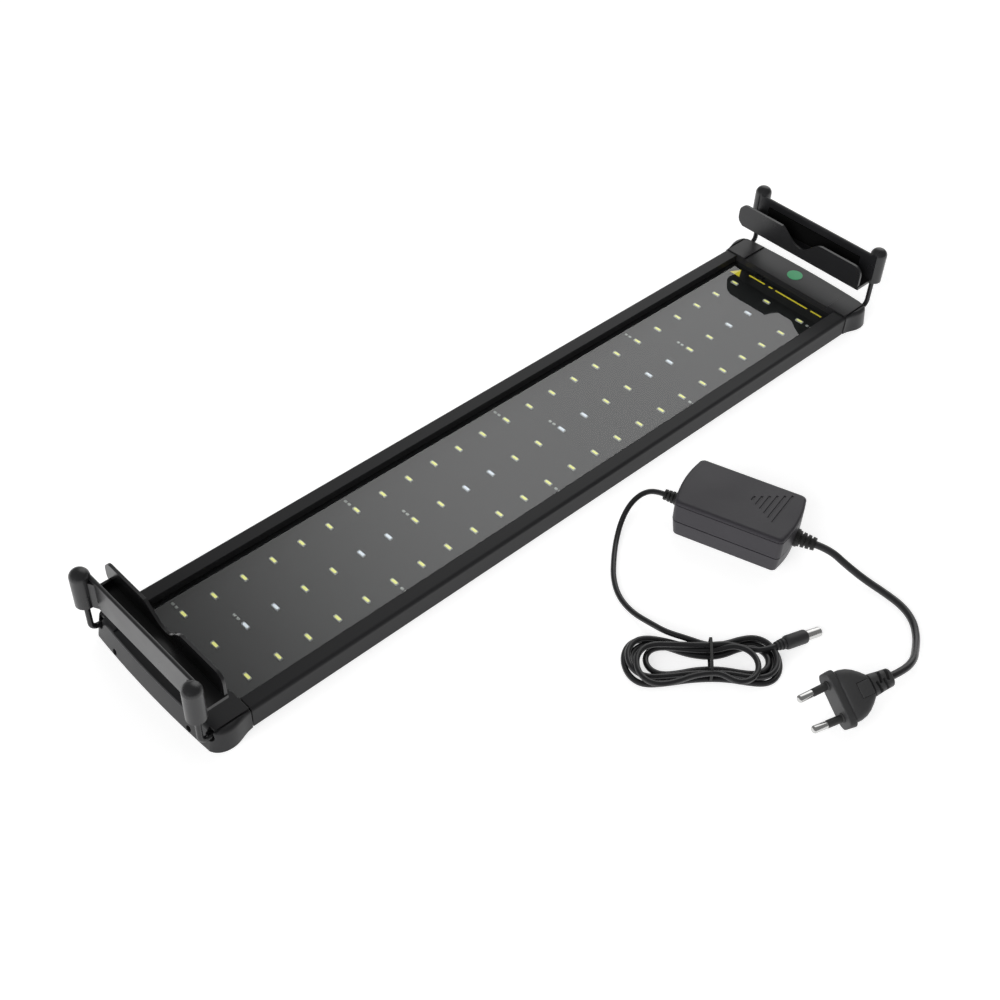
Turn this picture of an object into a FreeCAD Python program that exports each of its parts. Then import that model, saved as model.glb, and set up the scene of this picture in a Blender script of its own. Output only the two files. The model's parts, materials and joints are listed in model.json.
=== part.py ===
import FreeCAD, Part

import math
import os

# Extendable LED aquarium light with its mains adapter.
# The lamp lies on its back on z = 0 with its LEDs upward. X runs along the lamp,
# Y across it, and the origin is under the middle of its back. Units are millimetres.

V = FreeCAD.Vector
UP = V(0, 0, 1)

# ---------------------------------------------------------------- lamp body
BODY_HALF_LENGTH = 227.3
BODY_HALF_WIDTH = 48.65
BODY_HEIGHT = 12.5
OPENING_HALF_WIDTH = 39.7
RAIL_EDGE_RADIUS = 2.0
WEB_BOTTOM = 1.4
WEB_TOP = 3.4
RIB_WIDTH = 1.2
RIB_PITCH = 7.75
RIB_COUNT = 9
SCREW_PORT_Y = 31.0
SCREW_PORT_Z = 2.1
SCREW_PORT_WIDTH = 5.0
SCREW_PORT_RADIUS = 0.95

# rod channel in each side rail, and the plain hollow under it
ROD_Y = 45.6
ROD_Z = 8.8
ROD_RADIUS = 1.5
DUCT_SIZE = 4.2
HOLLOW_INNER_Y = 41.4
HOLLOW_OUTER_Y = 47.3
HOLLOW_BOTTOM = 1.4
HOLLOW_TOP = 5.2

# ---------------------------------------------------------------- LED panel
BOARD_HALF_LENGTH = 227.4
BOARD_HALF_WIDTH = 39.3
BOARD_THICKNESS = 1.6
BOARD_TOP = WEB_TOP + BOARD_THICKNESS
LED_COLUMNS = 24
LED_PITCH_X = 18.5
LED_ROW_Y = (26.4, 0.0, -26.4)
LED_SHIFT_X = -1.4
LED_SIZE = (2.0, 5.2, 0.9)
BLUE_ROW = 1
BLUE_CYCLE = 4
BLUE_PLACES = (1, 2)
RESISTOR_SIZE = (1.3, 2.0, 0.6)
RESISTOR_GAP = 3.0
RESISTOR_COLUMNS = 6
GLASS_BOTTOM = 6.3
GLASS_THICKNESS = 2.0
GLASS_HALF_LENGTH = 229.5
GLASS_HALF_WIDTH = 41.0
GLASS_CLEARANCE = 0.1
SPACER_WIDTH = 1.2

# ---------------------------------------------------------------- end caps
CAP_INNER_X = 228.0
CAP_OUTER_X = 252.7
CAP_CORNER_X = 247.4
CAP_HEIGHT = 13.3
CAP_NECK_HALF_WIDTH = 49.0
CAP_HALF_WIDTH = 52.1
CAP_BOW = 1.6
CAP_SIDE_DRAFT = 0.7
CAP_END_DRAFT = 2.2
CAP_EDGE_RADIUS = 2.6
CAP_EDGE_STEPS = 5
COVER_HALF_WIDTH = 33.8
COVER_TOP = 12.3
COVER_THICKNESS = 1.4
COVER_GAP = 0.1
PEG_RADIUS = 1.5
PEG_LENGTH = 1.4
PEG_SPACING = 46.0
ROD_HOLE_RADIUS = 1.75
ROD_MOUTH_RADIUS = 2.7
ROD_MOUTH_DEPTH = 3.0
GROOVE_WIDTH = 1.1
GROOVE_DEPTH = 1.2
SPIGOT_LENGTH = 6.0
SPIGOT_GAP = 0.15
SCREW_HEAD_RADIUS = 1.5
SCREW_HEAD_LENGTH = 1.4
SCREW_SHAFT_RADIUS = 0.95
SCREW_LENGTH = 22.0
SCREW_SEAT_X = 243.0
SCREW_WELL_RADIUS = 1.7

# ---------------------------------------------------------------- DC inlet
JACK_Y = 20.0
JACK_Z = 6.8
JACK_SIZE = (13.0, 9.0, 7.6)
JACK_BORE_RADIUS = 2.85
JACK_BORE_DEPTH = 9.5
JACK_PIN_RADIUS = 1.0
CAP_WINDOW_RADIUS = 4.4

# ---------------------------------------------------------------- extending brackets
ROD_INNER_X = 115.6
LEG_X = 254.0
LEG_TOP = 46.5
LEG_BEND_RADIUS = 4.0
TRAVEL = 100.0
GUIDE_LENGTH = 8.0
GUIDE_SIZE = 4.1
GUIDE_BORE_RADIUS = 1.55
STOP_LENGTH = 4.0
STOP_RADIUS = 1.95

# ---------------------------------------------------------------- rim clips
CLIP_BOTTOM = 28.0
CLIP_FLOOR = 2.0
CLIP_WALL_INNER_X = 249.3
CLIP_WALL_OUTER_X = 251.5
CLIP_WALL_TOP = 47.0
CLIP_WALL_HALF_WIDTH = 46.5
CLIP_LIP_X = 237.0
CLIP_LIP_THICKNESS = 1.7
CLIP_LIP_TOP = 43.3
CLIP_LIP_DIP = 34.5
CLIP_LIP_NEAR_Y = -46.0
CLIP_LIP_FAR_Y = 50.0
CLIP_LOBE_RADIUS = 6.0
LUG_RADIUS = 5.1
LUG_CYLINDER_TOP = 46.4
LUG_DOME_HEIGHT = 4.4
LUG_WEB_REACH = 8.0
LUG_WEB_DROP = 1.6
CLIP_RIB_HEIGHT = 3.6
CLIP_RIB_THICKNESS = 1.6
PAD_THICKNESS = 0.8
PAD_HALF_LENGTH = 36.0
PAD_HEIGHT = 11.0

# ---------------------------------------------------------------- marks
DOT_X = 239.5
DOT_Y = 1.0
DOT_RADIUS = 5.0
DOT_THICKNESS = 0.15
MARK_X = 225.6
MARK_WIDTH = 1.1
MARK_THICKNESS = 0.06
MARK_TRIANGLE_SIDE = 7.8
MARK_TRIANGLE_Y = 33.2
MARK_DASHES = ((25.9, 13.0), (9.7, 6.7), (4.2, -21.3), (-24.2, -32.6))

# ---------------------------------------------------------------- mains adapter
ADAPTER_CENTRE = V(43.4, -115.8, 0)
ADAPTER_ANGLE = -71.0
ADAPTER_LENGTH = 61.4
ADAPTER_WIDTH = 39.0
ADAPTER_HEIGHT = 24.0
ADAPTER_BULGE = 2.0
ADAPTER_PARTING = 10.4
ADAPTER_WALL = 2.0
ADAPTER_TAPER = 1.2
ADAPTER_EDGE_RADIUS = 1.7
ADAPTER_CORNER_RADIUS = 3.0
ADAPTER_GROOVE_DROP = 2.5
ADAPTER_GROOVE_DEPTH = 0.35
ADAPTER_GROOVE_WIDTH = 0.6
ADAPTER_SEAM_DEPTH = 0.8
ADAPTER_SEAM_WIDTH = 0.7
AC_RELIEF_Z = 10.0
AC_RELIEF_SHIFT = 1.5
AC_RELIEF_LENGTH = 10.6
AC_RELIEF_RADII = (4.8, 3.9)
DC_RELIEF_Z = 11.0
DC_RELIEF_SHIFT = -4.0
DC_RELIEF_LENGTH = 8.1
DC_RELIEF_RADII = (3.8, 3.3)
RELIEF_RIBS = 3
SLAT_COUNT = 6
SLAT_PITCH = 3.3
SLAT_FIRST_X = 5.4
SLAT_MIDDLE_Y = 3.6
SLAT_WIDTH = 1.1
SLAT_DEPTH = 0.5

# ---------------------------------------------------------------- mains lead and plug
AC_CORD_DIAMETER = 4.0
AC_ROUTE = (
    V(58.93, -156.22, 10.0),
    V(61.57, -163.88, 10.0),
    V(62.6, -174.6, 6.4),
    V(64.2, -186.6, 3.2),
    V(65.4, -198.8, 2.2),
    V(64.7, -210.2, 2.2),
    V(60.4, -219.9, 2.2),
    V(52.4, -227.2, 3.0),
    V(42.6, -232.8, 6.2),
    V(31.2, -238.2, 11.0),
    V(20.7, -239.1, 12.8),
    V(12.0, -236.8, 12.8),
)
PLUG_FRONT = V(-19.9, -228.3, 12.8)
PLUG_ANGLE = 165.0
PLUG_ROLL = -30.0
PLUG_WIDTH = 29.6
PLUG_THICKNESS = 12.6
PLUG_FACE_DEPTH = 4.4
PLUG_BODY_LENGTH = 19.5
PLUG_NECK_WIDTH = 12.0
PLUG_LENGTH = 33.0
PLUG_TAIL_RADIUS = 3.9
PIN_SPACING = 16.6
PIN_RADIUS = 2.0
PIN_LENGTH = 17.4
PIN_SLEEVE_LENGTH = 9.2
PIN_LEAN = 2.0
PIN_ROOT_DEPTH = 6.0

# ---------------------------------------------------------------- low-voltage lead
DC_CORD_DIAMETER = 3.0
DC_ROUTE = (
    V(26.33, -78.53, 11.0),
    V(24.38, -72.86, 11.0),
    V(18.4, -69.2, 10.0),
    V(9.8, -68.8, 7.4),
    V(-0.6, -72.4, 4.4),
    V(-12.2, -79.6, 2.0),
    V(-22.7, -87.9, 1.5),
    V(-32.8, -97.1, 1.5),
    V(-40.0, -107.8, 1.5),
    V(-42.8, -119.8, 1.7),
    V(-42.4, -132.4, 3.0),
    V(-43.6, -143.6, 4.7),
)
HANK_CENTRE = V(-41.5, -165.5, 0)
HANK_ANGLE = -41.8
HANK_HEIGHT = 10.5
HANK_OUTLINE = (
    (-41.0, -1.0),
    (-34.0, 12.5),
    (-20.0, 17.4),
    (-7.0, 14.2),
    (4.0, 11.8),
    (15.0, 15.8),
    (26.0, 17.8),
    (37.0, 12.5),
    (41.5, 0.0),
    (37.5, -12.0),
    (27.0, -17.0),
    (16.0, -20.4),
    (4.0, -13.6),
    (-8.0, -15.6),
    (-22.0, -20.8),
    (-34.0, -15.0),
)
TIE_SHIFT = 4.0
TIE_WIDTH = 1.6
TIE_THICKNESS = 0.8
CONNECTOR_START = V(-8.5, -184.7, 5.6)
CONNECTOR_ANGLE = -16.0
CONNECTOR_DIP = 5.0
CONNECTOR_BOOT_LENGTH = 5.5
CONNECTOR_BOOT_RADII = (2.4, 3.0)
CONNECTOR_BODY_LENGTH = 13.5
CONNECTOR_BODY_RADIUS = 3.7
BARREL_LENGTH = 8.5
BARREL_RADIUS = 2.75
BARREL_WALL = 0.35
BARREL_BORE_RADIUS = 1.25


# ================================================================ helpers
def box(x0, x1, y0, y1, z0, z1):
    return Part.makeBox(x1 - x0, y1 - y0, z1 - z0, V(x0, y0, z0))


def rod(radius, start, end):
    return Part.makeCylinder(radius, (end - start).Length, start, end - start)


def union(shapes):
    first = shapes[0]
    if len(shapes) == 1:
        return first
    return first.fuse(shapes[1:]).removeSplitter()


def mirror_x(shape):
    return shape.mirror(V(0, 0, 0), V(1, 0, 0))


def mirror_y(shape):
    return shape.mirror(V(0, 0, 0), V(0, 1, 0))


def both_sides(shape):
    return [shape, mirror_y(shape)]


def place(shape, origin, angle):
    """Turns a shape about Z by angle degrees, then moves its origin to a point."""
    turned = shape.copy()
    turned.rotate(V(0, 0, 0), UP, angle)
    turned.translate(origin)
    return turned


def ring_of_points(points):
    """A closed face through 3-D points joined by straight edges."""
    return Part.Face(Part.makePolygon(list(points) + [points[0]]))


def rounded_prism(half_x, half_y, radius, z0, z1):
    """An upright prism on a rectangle with rounded corners."""
    block = box(-half_x, half_x, -half_y, half_y, z0, z1)
    upright = [e for e in block.Edges if abs(e.tangentAt(e.FirstParameter).z) > 0.99]
    return block.makeFillet(radius, upright)


def save(name, shape):
    if isinstance(shape, list):
        shape = Part.makeCompound(shape)
    shape.exportStep("parts/" + name + ".step")
    print("%-22s solids %3d  volume %10.1f  valid %s" % (
        name, len(shape.Solids), shape.Volume, shape.isValid()))


# ================================================================ cords
def cord_path(route):
    """Straight runs joined by tangent arcs, each as large as its two runs allow."""
    edges = []
    radii = []
    here = route[0]
    for i in range(1, len(route) - 1):
        before = route[i] - route[i - 1]
        after = route[i + 1] - route[i]
        half_turn = before.getAngle(after) / 2
        setback = 0.45 * min(before.Length, after.Length)
        radius = setback / math.tan(half_turn)
        radii.append(radius)
        arc_start = route[i] - before.normalize() * setback
        arc_end = route[i] + after.normalize() * setback
        to_centre = (after - before).normalize()
        centre = route[i] + to_centre * (radius / math.cos(half_turn))
        middle = centre - to_centre * radius
        edges.append(Part.LineSegment(here, arc_start).toShape())
        edges.append(Part.Arc(arc_start, middle, arc_end).toShape())
        here = arc_end
    edges.append(Part.LineSegment(here, route[-1]).toShape())
    return Part.Wire(edges), radii


def cord_tube(name, route, diameter):
    """A round tube along the route, with its radii and volume printed for checking."""
    path, radii = cord_path(route)
    direction = route[1] - route[0]
    section = Part.Wire(Part.makeCircle(diameter / 2, route[0], direction))
    tube = path.makePipeShell([section], True, True, 2)
    expected = math.pi * diameter ** 2 / 4 * path.Length
    print("%s: length %.1f mm, smallest radius %.1f mm (%.1f diameters), volume ratio %.4f" % (
        name, path.Length, min(radii), min(radii) / diameter, tube.Volume / expected))
    print("   radii", [round(r, 1) for r in radii])
    return tube


# ================================================================ lamp body
def rail_profile():
    """One side rail in the YZ plane, on the +Y side, with its glass groove."""
    r = RAIL_EDGE_RADIUS
    outer = BODY_HALF_WIDTH
    groove_z0 = GLASS_BOTTOM - GLASS_CLEARANCE
    groove_z1 = GLASS_BOTTOM + GLASS_THICKNESS + GLASS_CLEARANCE
    groove_y = GLASS_HALF_WIDTH + GLASS_CLEARANCE
    inner = OPENING_HALF_WIDTH
    corners = [
        V(0, inner, 0),
        V(0, outer, 0),
        V(0, outer, BODY_HEIGHT - r),
    ]
    middle = V(0, outer - r * (1 - math.sqrt(0.5)), BODY_HEIGHT - r * (1 - math.sqrt(0.5)))
    arc = Part.Arc(corners[2], middle, V(0, outer - r, BODY_HEIGHT)).toShape()
    rest = [
        V(0, outer - r, BODY_HEIGHT),
        V(0, inner, BODY_HEIGHT),
        V(0, inner, groove_z1),
        V(0, groove_y, groove_z1),
        V(0, groove_y, groove_z0),
        V(0, inner, groove_z0),
        V(0, inner, 0),
    ]
    edges = [Part.makeLine(a, b) for a, b in zip(corners, corners[1:])]
    edges.append(arc)
    edges += [Part.makeLine(a, b) for a, b in zip(rest, rest[1:])]
    return Part.Face(Part.Wire(edges))


def rail():
    solid = rail_profile().extrude(V(2 * BODY_HALF_LENGTH, 0, 0))
    solid.translate(V(-BODY_HALF_LENGTH, 0, 0))
    x0 = -BODY_HALF_LENGTH
    x1 = BODY_HALF_LENGTH
    half = DUCT_SIZE / 2
    duct = box(x0, x1, ROD_Y - half, ROD_Y + half, ROD_Z - half, ROD_Z + half)
    hollow = box(x0, x1, HOLLOW_INNER_Y, HOLLOW_OUTER_Y, HOLLOW_BOTTOM, HOLLOW_TOP)
    return solid.cut([duct, hollow])


def frame_extrusion():
    """Aluminium channel: a ribbed back web between two hollow side rails."""
    x0 = -BODY_HALF_LENGTH
    x1 = BODY_HALF_LENGTH
    pieces = both_sides(rail())
    pieces.append(box(x0, x1, -OPENING_HALF_WIDTH, OPENING_HALF_WIDTH, WEB_BOTTOM, WEB_TOP))
    for i in range(RIB_COUNT):
        y = (i - (RIB_COUNT - 1) / 2) * RIB_PITCH
        if abs(abs(y) - SCREW_PORT_Y) > SCREW_PORT_WIDTH / 2:
            pieces.append(box(x0, x1, y - RIB_WIDTH / 2, y + RIB_WIDTH / 2, 0, WEB_TOP))
    for side in (-1, 1):
        y = side * SCREW_PORT_Y
        half = SCREW_PORT_WIDTH / 2
        pieces.append(box(x0, x1, y - half, y + half, 0, WEB_TOP))
    body = union(pieces)
    ports = []
    for side in (-1, 1):
        y = side * SCREW_PORT_Y
        ports.append(rod(SCREW_PORT_RADIUS, V(x0 - 1, y, SCREW_PORT_Z), V(x1 + 1, y, SCREW_PORT_Z)))
    return body.cut(ports)


# ================================================================ LED panel
def led_x(column):
    return (column - (LED_COLUMNS - 1) / 2) * LED_PITCH_X + LED_SHIFT_X


def is_blue(row, column):
    return row == BLUE_ROW and column % BLUE_CYCLE in BLUE_PLACES


def led_chips(blue):
    """All chips of one colour, each a low block with its long side across the lamp."""
    sx, sy, sz = LED_SIZE
    chips = []
    for row, y in enumerate(LED_ROW_Y):
        for column in range(LED_COLUMNS):
            if is_blue(row, column) == blue:
                x = led_x(column)
                chip = box(x - sx / 2, x + sx / 2, y - sy / 2, y + sy / 2,
                           BOARD_TOP, BOARD_TOP + sz)
                chips.append(chip)
    return chips


def resistor_places():
    """Pairs of resistors, one pair per row for every sixth column."""
    places = []
    for row, y in enumerate(LED_ROW_Y):
        step = -1 if row == 2 else 1
        first = (0, 1, 5)[row]
        for column in range(first, LED_COLUMNS, RESISTOR_COLUMNS):
            x = led_x(column)
            places.append((x, y + step * 6.2))
            places.append((x, y + step * (6.2 + RESISTOR_GAP)))
    return places


def board_resistors():
    sx, sy, sz = RESISTOR_SIZE
    return [box(x - sx / 2, x + sx / 2, y - sy / 2, y + sy / 2, BOARD_TOP, BOARD_TOP + sz)
            for x, y in resistor_places()]


def led_board():
    return box(-BOARD_HALF_LENGTH, BOARD_HALF_LENGTH, -BOARD_HALF_WIDTH, BOARD_HALF_WIDTH,
               WEB_TOP, BOARD_TOP)


def spacer_strips():
    """Foam strips that keep the cover glass off the board along both long edges."""
    strip = box(-BOARD_HALF_LENGTH, BOARD_HALF_LENGTH, BOARD_HALF_WIDTH - SPACER_WIDTH,
                BOARD_HALF_WIDTH, BOARD_TOP, GLASS_BOTTOM)
    return both_sides(strip)


def cover_glass():
    return box(-GLASS_HALF_LENGTH, GLASS_HALF_LENGTH, -GLASS_HALF_WIDTH, GLASS_HALF_WIDTH,
               GLASS_BOTTOM, GLASS_BOTTOM + GLASS_THICKNESS)


def panel_marks():
    """A plain triangle and a broken line, printed on the board beside the right cap."""
    z0 = BOARD_TOP
    z1 = BOARD_TOP + MARK_THICKNESS
    half = MARK_WIDTH / 2
    marks = [box(MARK_X - half, MARK_X + half, min(a, b), max(a, b), z0, z1)
             for a, b in MARK_DASHES]
    side = MARK_TRIANGLE_SIDE / 2
    reach = side * math.sqrt(3)
    tip = MARK_X + half
    corners = [V(tip - reach, MARK_TRIANGLE_Y - side, z0),
               V(tip, MARK_TRIANGLE_Y, z0),
               V(tip - reach, MARK_TRIANGLE_Y + side, z0)]
    marks.append(ring_of_points(corners).extrude(V(0, 0, MARK_THICKNESS)))
    return marks


# ================================================================ end caps (right side)
def cap_section(z):
    """Outline of the right cap at one height: neck, flared sides and a bowed end."""
    rounding_start = CAP_HEIGHT - CAP_EDGE_RADIUS
    rise = max(0.0, z - rounding_start) / CAP_EDGE_RADIUS
    inset = CAP_EDGE_RADIUS * (1 - math.sqrt(max(0.0, 1 - rise * rise)))
    lean = min(1.0, z / rounding_start)
    end_inset = CAP_END_DRAFT * lean + inset
    side_inset = CAP_SIDE_DRAFT * lean + inset
    neck = CAP_NECK_HALF_WIDTH - inset
    wide = CAP_HALF_WIDTH - side_inset
    outer = CAP_OUTER_X - end_inset
    corner_x = CAP_CORNER_X - end_inset * 0.6

    def side_points(sign):
        return [V(CAP_INNER_X, sign * neck, z),
                V(CAP_INNER_X + 4.5, sign * (neck + (wide - neck) * 0.3), z),
                V(CAP_INNER_X + 11.0, sign * wide, z),
                V(corner_x, sign * (wide - 1.2), z),
                V(outer - CAP_BOW, sign * (wide - 5.5), z)]

    low = side_points(-1)
    high = side_points(1)
    high.reverse()
    low_curve = Part.BSplineCurve()
    low_curve.interpolate(low)
    high_curve = Part.BSplineCurve()
    high_curve.interpolate(high)
    end = Part.Arc(low[-1], V(outer, 0, z), high[0]).toShape()
    inner = Part.makeLine(high[-1], low[0])
    return Part.Wire([low_curve.toShape(), end, high_curve.toShape(), inner])


def cap_outside():
    """Solid outside form of the right cap, with its rounded top edge in small steps."""
    rounding_start = CAP_HEIGHT - CAP_EDGE_RADIUS
    levels = [0.0, rounding_start]
    for i in range(1, CAP_EDGE_STEPS):
        angle = math.pi / 2 * i / CAP_EDGE_STEPS
        levels.append(rounding_start + CAP_EDGE_RADIUS * math.sin(angle))
    slices = []
    for z0, z1 in zip(levels, levels[1:]):
        slices.append(Part.makeLoft([cap_section(z0), cap_section(z1)], True, True))
    return union(slices)


def cover_box(gap):
    return box(CAP_INNER_X + gap, CAP_OUTER_X + 5, -COVER_HALF_WIDTH + gap,
               COVER_HALF_WIDTH - gap, COVER_TOP - COVER_THICKNESS, COVER_TOP)


def peg_holes(radius, length):
    x = (CAP_INNER_X + CAP_CORNER_X) / 2 - 6
    z = COVER_TOP - COVER_THICKNESS
    return [rod(radius, V(x, y, z - length), V(x, y, z + 0.5))
            for y in (-PEG_SPACING / 2, PEG_SPACING / 2)]


def cap_cover():
    """Flush plate in the cap's middle, with two pegs under it."""
    plate = cap_outside().common(cover_box(COVER_GAP))
    return union([plate] + peg_holes(PEG_RADIUS, PEG_LENGTH))


def jack_block():
    sx, sy, sz = JACK_SIZE
    face = CAP_OUTER_X - CAP_END_DRAFT - 1.6
    return box(face - sx, face, JACK_Y - sy / 2, JACK_Y + sy / 2, JACK_Z - sz / 2, JACK_Z + sz / 2)


def cap(is_right):
    """Moulded end cap, drawn on the right side; only the right one holds the inlet."""
    body = cap_outside()
    far_x = CAP_OUTER_X + 5
    recess = box(CAP_INNER_X - 1, far_x, -COVER_HALF_WIDTH, COVER_HALF_WIDTH,
                 COVER_TOP - COVER_THICKNESS, CAP_HEIGHT + 1)
    cuts = [recess] + peg_holes(PEG_RADIUS + COVER_GAP, PEG_LENGTH + COVER_GAP)
    # slot for the ends of the board and the glass
    cuts.append(box(CAP_INNER_X - 1, GLASS_HALF_LENGTH + 0.3, -GLASS_HALF_WIDTH - 0.3,
                    GLASS_HALF_WIDTH + 0.3, WEB_TOP, GLASS_BOTTOM + GLASS_THICKNESS + 0.1))
    # moulded-out pockets in the underside, between the screws
    for y0, y1 in ((-27.0, -3.0), (3.0, 27.0)):
        cuts.append(box(CAP_INNER_X + 4, SCREW_SEAT_X, y0, y1, -1, 2.2))
    for side in (-1, 1):
        y = side * ROD_Y
        cuts.append(rod(ROD_HOLE_RADIUS, V(CAP_INNER_X - 1, y, ROD_Z), V(far_x, y, ROD_Z)))
        mouth_x = CAP_OUTER_X - CAP_END_DRAFT - CAP_BOW - ROD_MOUTH_DEPTH
        cuts.append(rod(ROD_MOUTH_RADIUS, V(mouth_x, y, ROD_Z), V(far_x, y, ROD_Z)))
        # open slot above the mouth lets the leg's bend sink in
        cuts.append(box(mouth_x + 1.2, far_x, y - ROD_HOLE_RADIUS, y + ROD_HOLE_RADIUS,
                        ROD_Z, CAP_HEIGHT + 1))
        ys = side * SCREW_PORT_Y
        cuts.append(rod(SCREW_SHAFT_RADIUS + 0.15, V(CAP_INNER_X - 1, ys, SCREW_PORT_Z),
                        V(far_x, ys, SCREW_PORT_Z)))
        cuts.append(rod(SCREW_WELL_RADIUS, V(SCREW_SEAT_X, ys, SCREW_PORT_Z),
                        V(far_x, ys, SCREW_PORT_Z)))
        groove_y = side * (CAP_NECK_HALF_WIDTH - 1.0)
        cuts.append(box(CAP_INNER_X - 1, far_x, groove_y - GROOVE_WIDTH / 2,
                        groove_y + GROOVE_WIDTH / 2, CAP_HEIGHT - GROOVE_DEPTH, CAP_HEIGHT + 1))
    if is_right:
        cuts.append(jack_block())
        cuts.append(rod(CAP_WINDOW_RADIUS, V(CAP_INNER_X + 12, JACK_Y, JACK_Z),
                        V(far_x, JACK_Y, JACK_Z)))
        sx, sy, sz = JACK_SIZE
        cuts.append(box(CAP_INNER_X + 4, CAP_INNER_X + 14, JACK_Y - sy / 2, JACK_Y + sy / 2,
                        3.6, JACK_Z + sz / 2 - 0.4))
        # channel that lets the inlet's tails reach the board
        cuts.append(box(CAP_INNER_X - 1, CAP_INNER_X + 5, JACK_Y - 3.6, JACK_Y + 3.6,
                        BOARD_TOP - 0.4, BOARD_TOP + 1.2))
    body = body.cut(cuts)
    spigots = []
    for side in (-1, 1):
        y0 = HOLLOW_INNER_Y + SPIGOT_GAP
        y1 = HOLLOW_OUTER_Y - SPIGOT_GAP
        spigot = box(CAP_INNER_X - SPIGOT_LENGTH, CAP_INNER_X + 1, y0, y1,
                     HOLLOW_BOTTOM + SPIGOT_GAP, HOLLOW_TOP - SPIGOT_GAP)
        spigots.append(spigot if side > 0 else mirror_y(spigot))
    return union([body] + spigots)


def cap_screws():
    """Two screws that pull the cap against the end of the extrusion."""
    screws = []
    for side in (-1, 1):
        y = side * SCREW_PORT_Y
        seat = V(SCREW_SEAT_X, y, SCREW_PORT_Z)
        head = rod(SCREW_HEAD_RADIUS, seat, seat + V(SCREW_HEAD_LENGTH, 0, 0))
        slot = box(SCREW_SEAT_X + SCREW_HEAD_LENGTH - 0.6, SCREW_SEAT_X + SCREW_HEAD_LENGTH + 1,
                   y - SCREW_HEAD_RADIUS, y + SCREW_HEAD_RADIUS, SCREW_PORT_Z - 0.3,
                   SCREW_PORT_Z + 0.3)
        shaft = rod(SCREW_SHAFT_RADIUS, seat - V(SCREW_LENGTH, 0, 0), seat)
        screws.append(head.cut(slot).fuse(shaft).removeSplitter())
    return screws


# ================================================================ DC inlet
def dc_jack():
    body = jack_block()
    face = body.BoundBox.XMax
    mouth = V(face, JACK_Y, JACK_Z)
    back = mouth - V(JACK_BORE_DEPTH, 0, 0)
    return body.cut(rod(JACK_BORE_RADIUS, back, mouth + V(1, 0, 0)))


def jack_contacts():
    """Centre pin in the inlet and two flat tails that lead down to the board."""
    block = jack_block().BoundBox
    back = V(block.XMax - JACK_BORE_DEPTH, JACK_Y, JACK_Z)
    pin = rod(JACK_PIN_RADIUS, back, back + V(JACK_BORE_DEPTH - 1.5, 0, 0))
    tails = []
    for y in (JACK_Y - 3.0, JACK_Y + 2.0):
        upright = box(block.XMin - 0.6, block.XMin, y, y + 1.0, BOARD_TOP, JACK_Z + 2)
        flat = box(BOARD_HALF_LENGTH - 0.9, block.XMin, y, y + 1.0, BOARD_TOP, BOARD_TOP + 0.5)
        tails.append(upright.fuse(flat).removeSplitter())
    return [pin] + tails


# ================================================================ brackets (right side)
def bracket_rod(y):
    """One wire: a long run inside the rail, a tight bend and an upright leg."""
    bend_start = V(LEG_X - LEG_BEND_RADIUS, y, ROD_Z)
    bend_end = V(LEG_X, y, ROD_Z + LEG_BEND_RADIUS)
    sag = LEG_BEND_RADIUS * math.sqrt(0.5)
    middle = V(LEG_X - LEG_BEND_RADIUS + sag, y, ROD_Z + LEG_BEND_RADIUS - sag)
    start = V(ROD_INNER_X, y, ROD_Z)
    path = Part.Wire([Part.LineSegment(start, bend_start).toShape(),
                      Part.Arc(bend_start, middle, bend_end).toShape(),
                      Part.LineSegment(bend_end, V(LEG_X, y, LEG_TOP)).toShape()])
    section = Part.Wire(Part.makeCircle(ROD_RADIUS, start, V(1, 0, 0)))
    return path.makePipeShell([section], True, True, 2)


def rod_guides():
    """Plastic sleeves pressed into the ends of the rod channels."""
    half = GUIDE_SIZE / 2
    sleeve = box(BODY_HALF_LENGTH - GUIDE_LENGTH, BODY_HALF_LENGTH, ROD_Y - half, ROD_Y + half,
                 ROD_Z - half, ROD_Z + half)
    bore = rod(GUIDE_BORE_RADIUS, V(BODY_HALF_LENGTH - GUIDE_LENGTH - 1, ROD_Y, ROD_Z),
               V(BODY_HALF_LENGTH + 1, ROD_Y, ROD_Z))
    return both_sides(sleeve.cut(bore))


def rod_stops():
    """Collars on the hidden ends of the wires; they meet the guides when pulled out."""
    outer_x = BODY_HALF_LENGTH - GUIDE_LENGTH - TRAVEL
    start = V(outer_x - STOP_LENGTH, ROD_Y, ROD_Z)
    end = V(outer_x, ROD_Y, ROD_Z)
    return both_sides(rod(STOP_RADIUS, start, end).cut(rod(ROD_RADIUS, start, end)))


# ================================================================ rim clips (right side)
def clip_lip():
    """Thin inner wall with two tall rounded lobes and a dip between them."""
    r = CLIP_LOBE_RADIUS
    top = CLIP_LIP_TOP
    x = CLIP_LIP_X
    near = CLIP_LIP_NEAR_Y
    far = CLIP_LIP_FAR_Y
    base = CLIP_BOTTOM

    def p(y, z):
        return V(x, y, z)

    dip = Part.BSplineCurve()
    dip.interpolate([p(-16, top), p(-9, top - 3.2), p(-2, CLIP_LIP_DIP), p(4, CLIP_LIP_DIP + 0.4),
                     p(10, top - 4.6), p(16, top)])
    s = r * (1 - math.sqrt(0.5))
    edges = [
        Part.makeLine(p(near, base), p(near, top - r)),
        Part.Arc(p(near, top - r), p(near + s, top - s), p(near + r, top)).toShape(),
        Part.makeLine(p(near + r, top), p(-16, top)),
        dip.toShape(),
        Part.makeLine(p(16, top), p(far - r, top)),
        Part.Arc(p(far - r, top), p(far - s, top - s), p(far, top - r)).toShape(),
        Part.makeLine(p(far, top - r), p(far, base + 6)),
        Part.Arc(p(far, base + 6), p(far - 1.7, base + 1.7), p(far - 6, base)).toShape(),
        Part.makeLine(p(far - 6, base), p(near, base)),
    ]
    face = Part.Face(Part.Wire(edges))
    return face.extrude(V(CLIP_LIP_THICKNESS, 0, 0))


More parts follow.
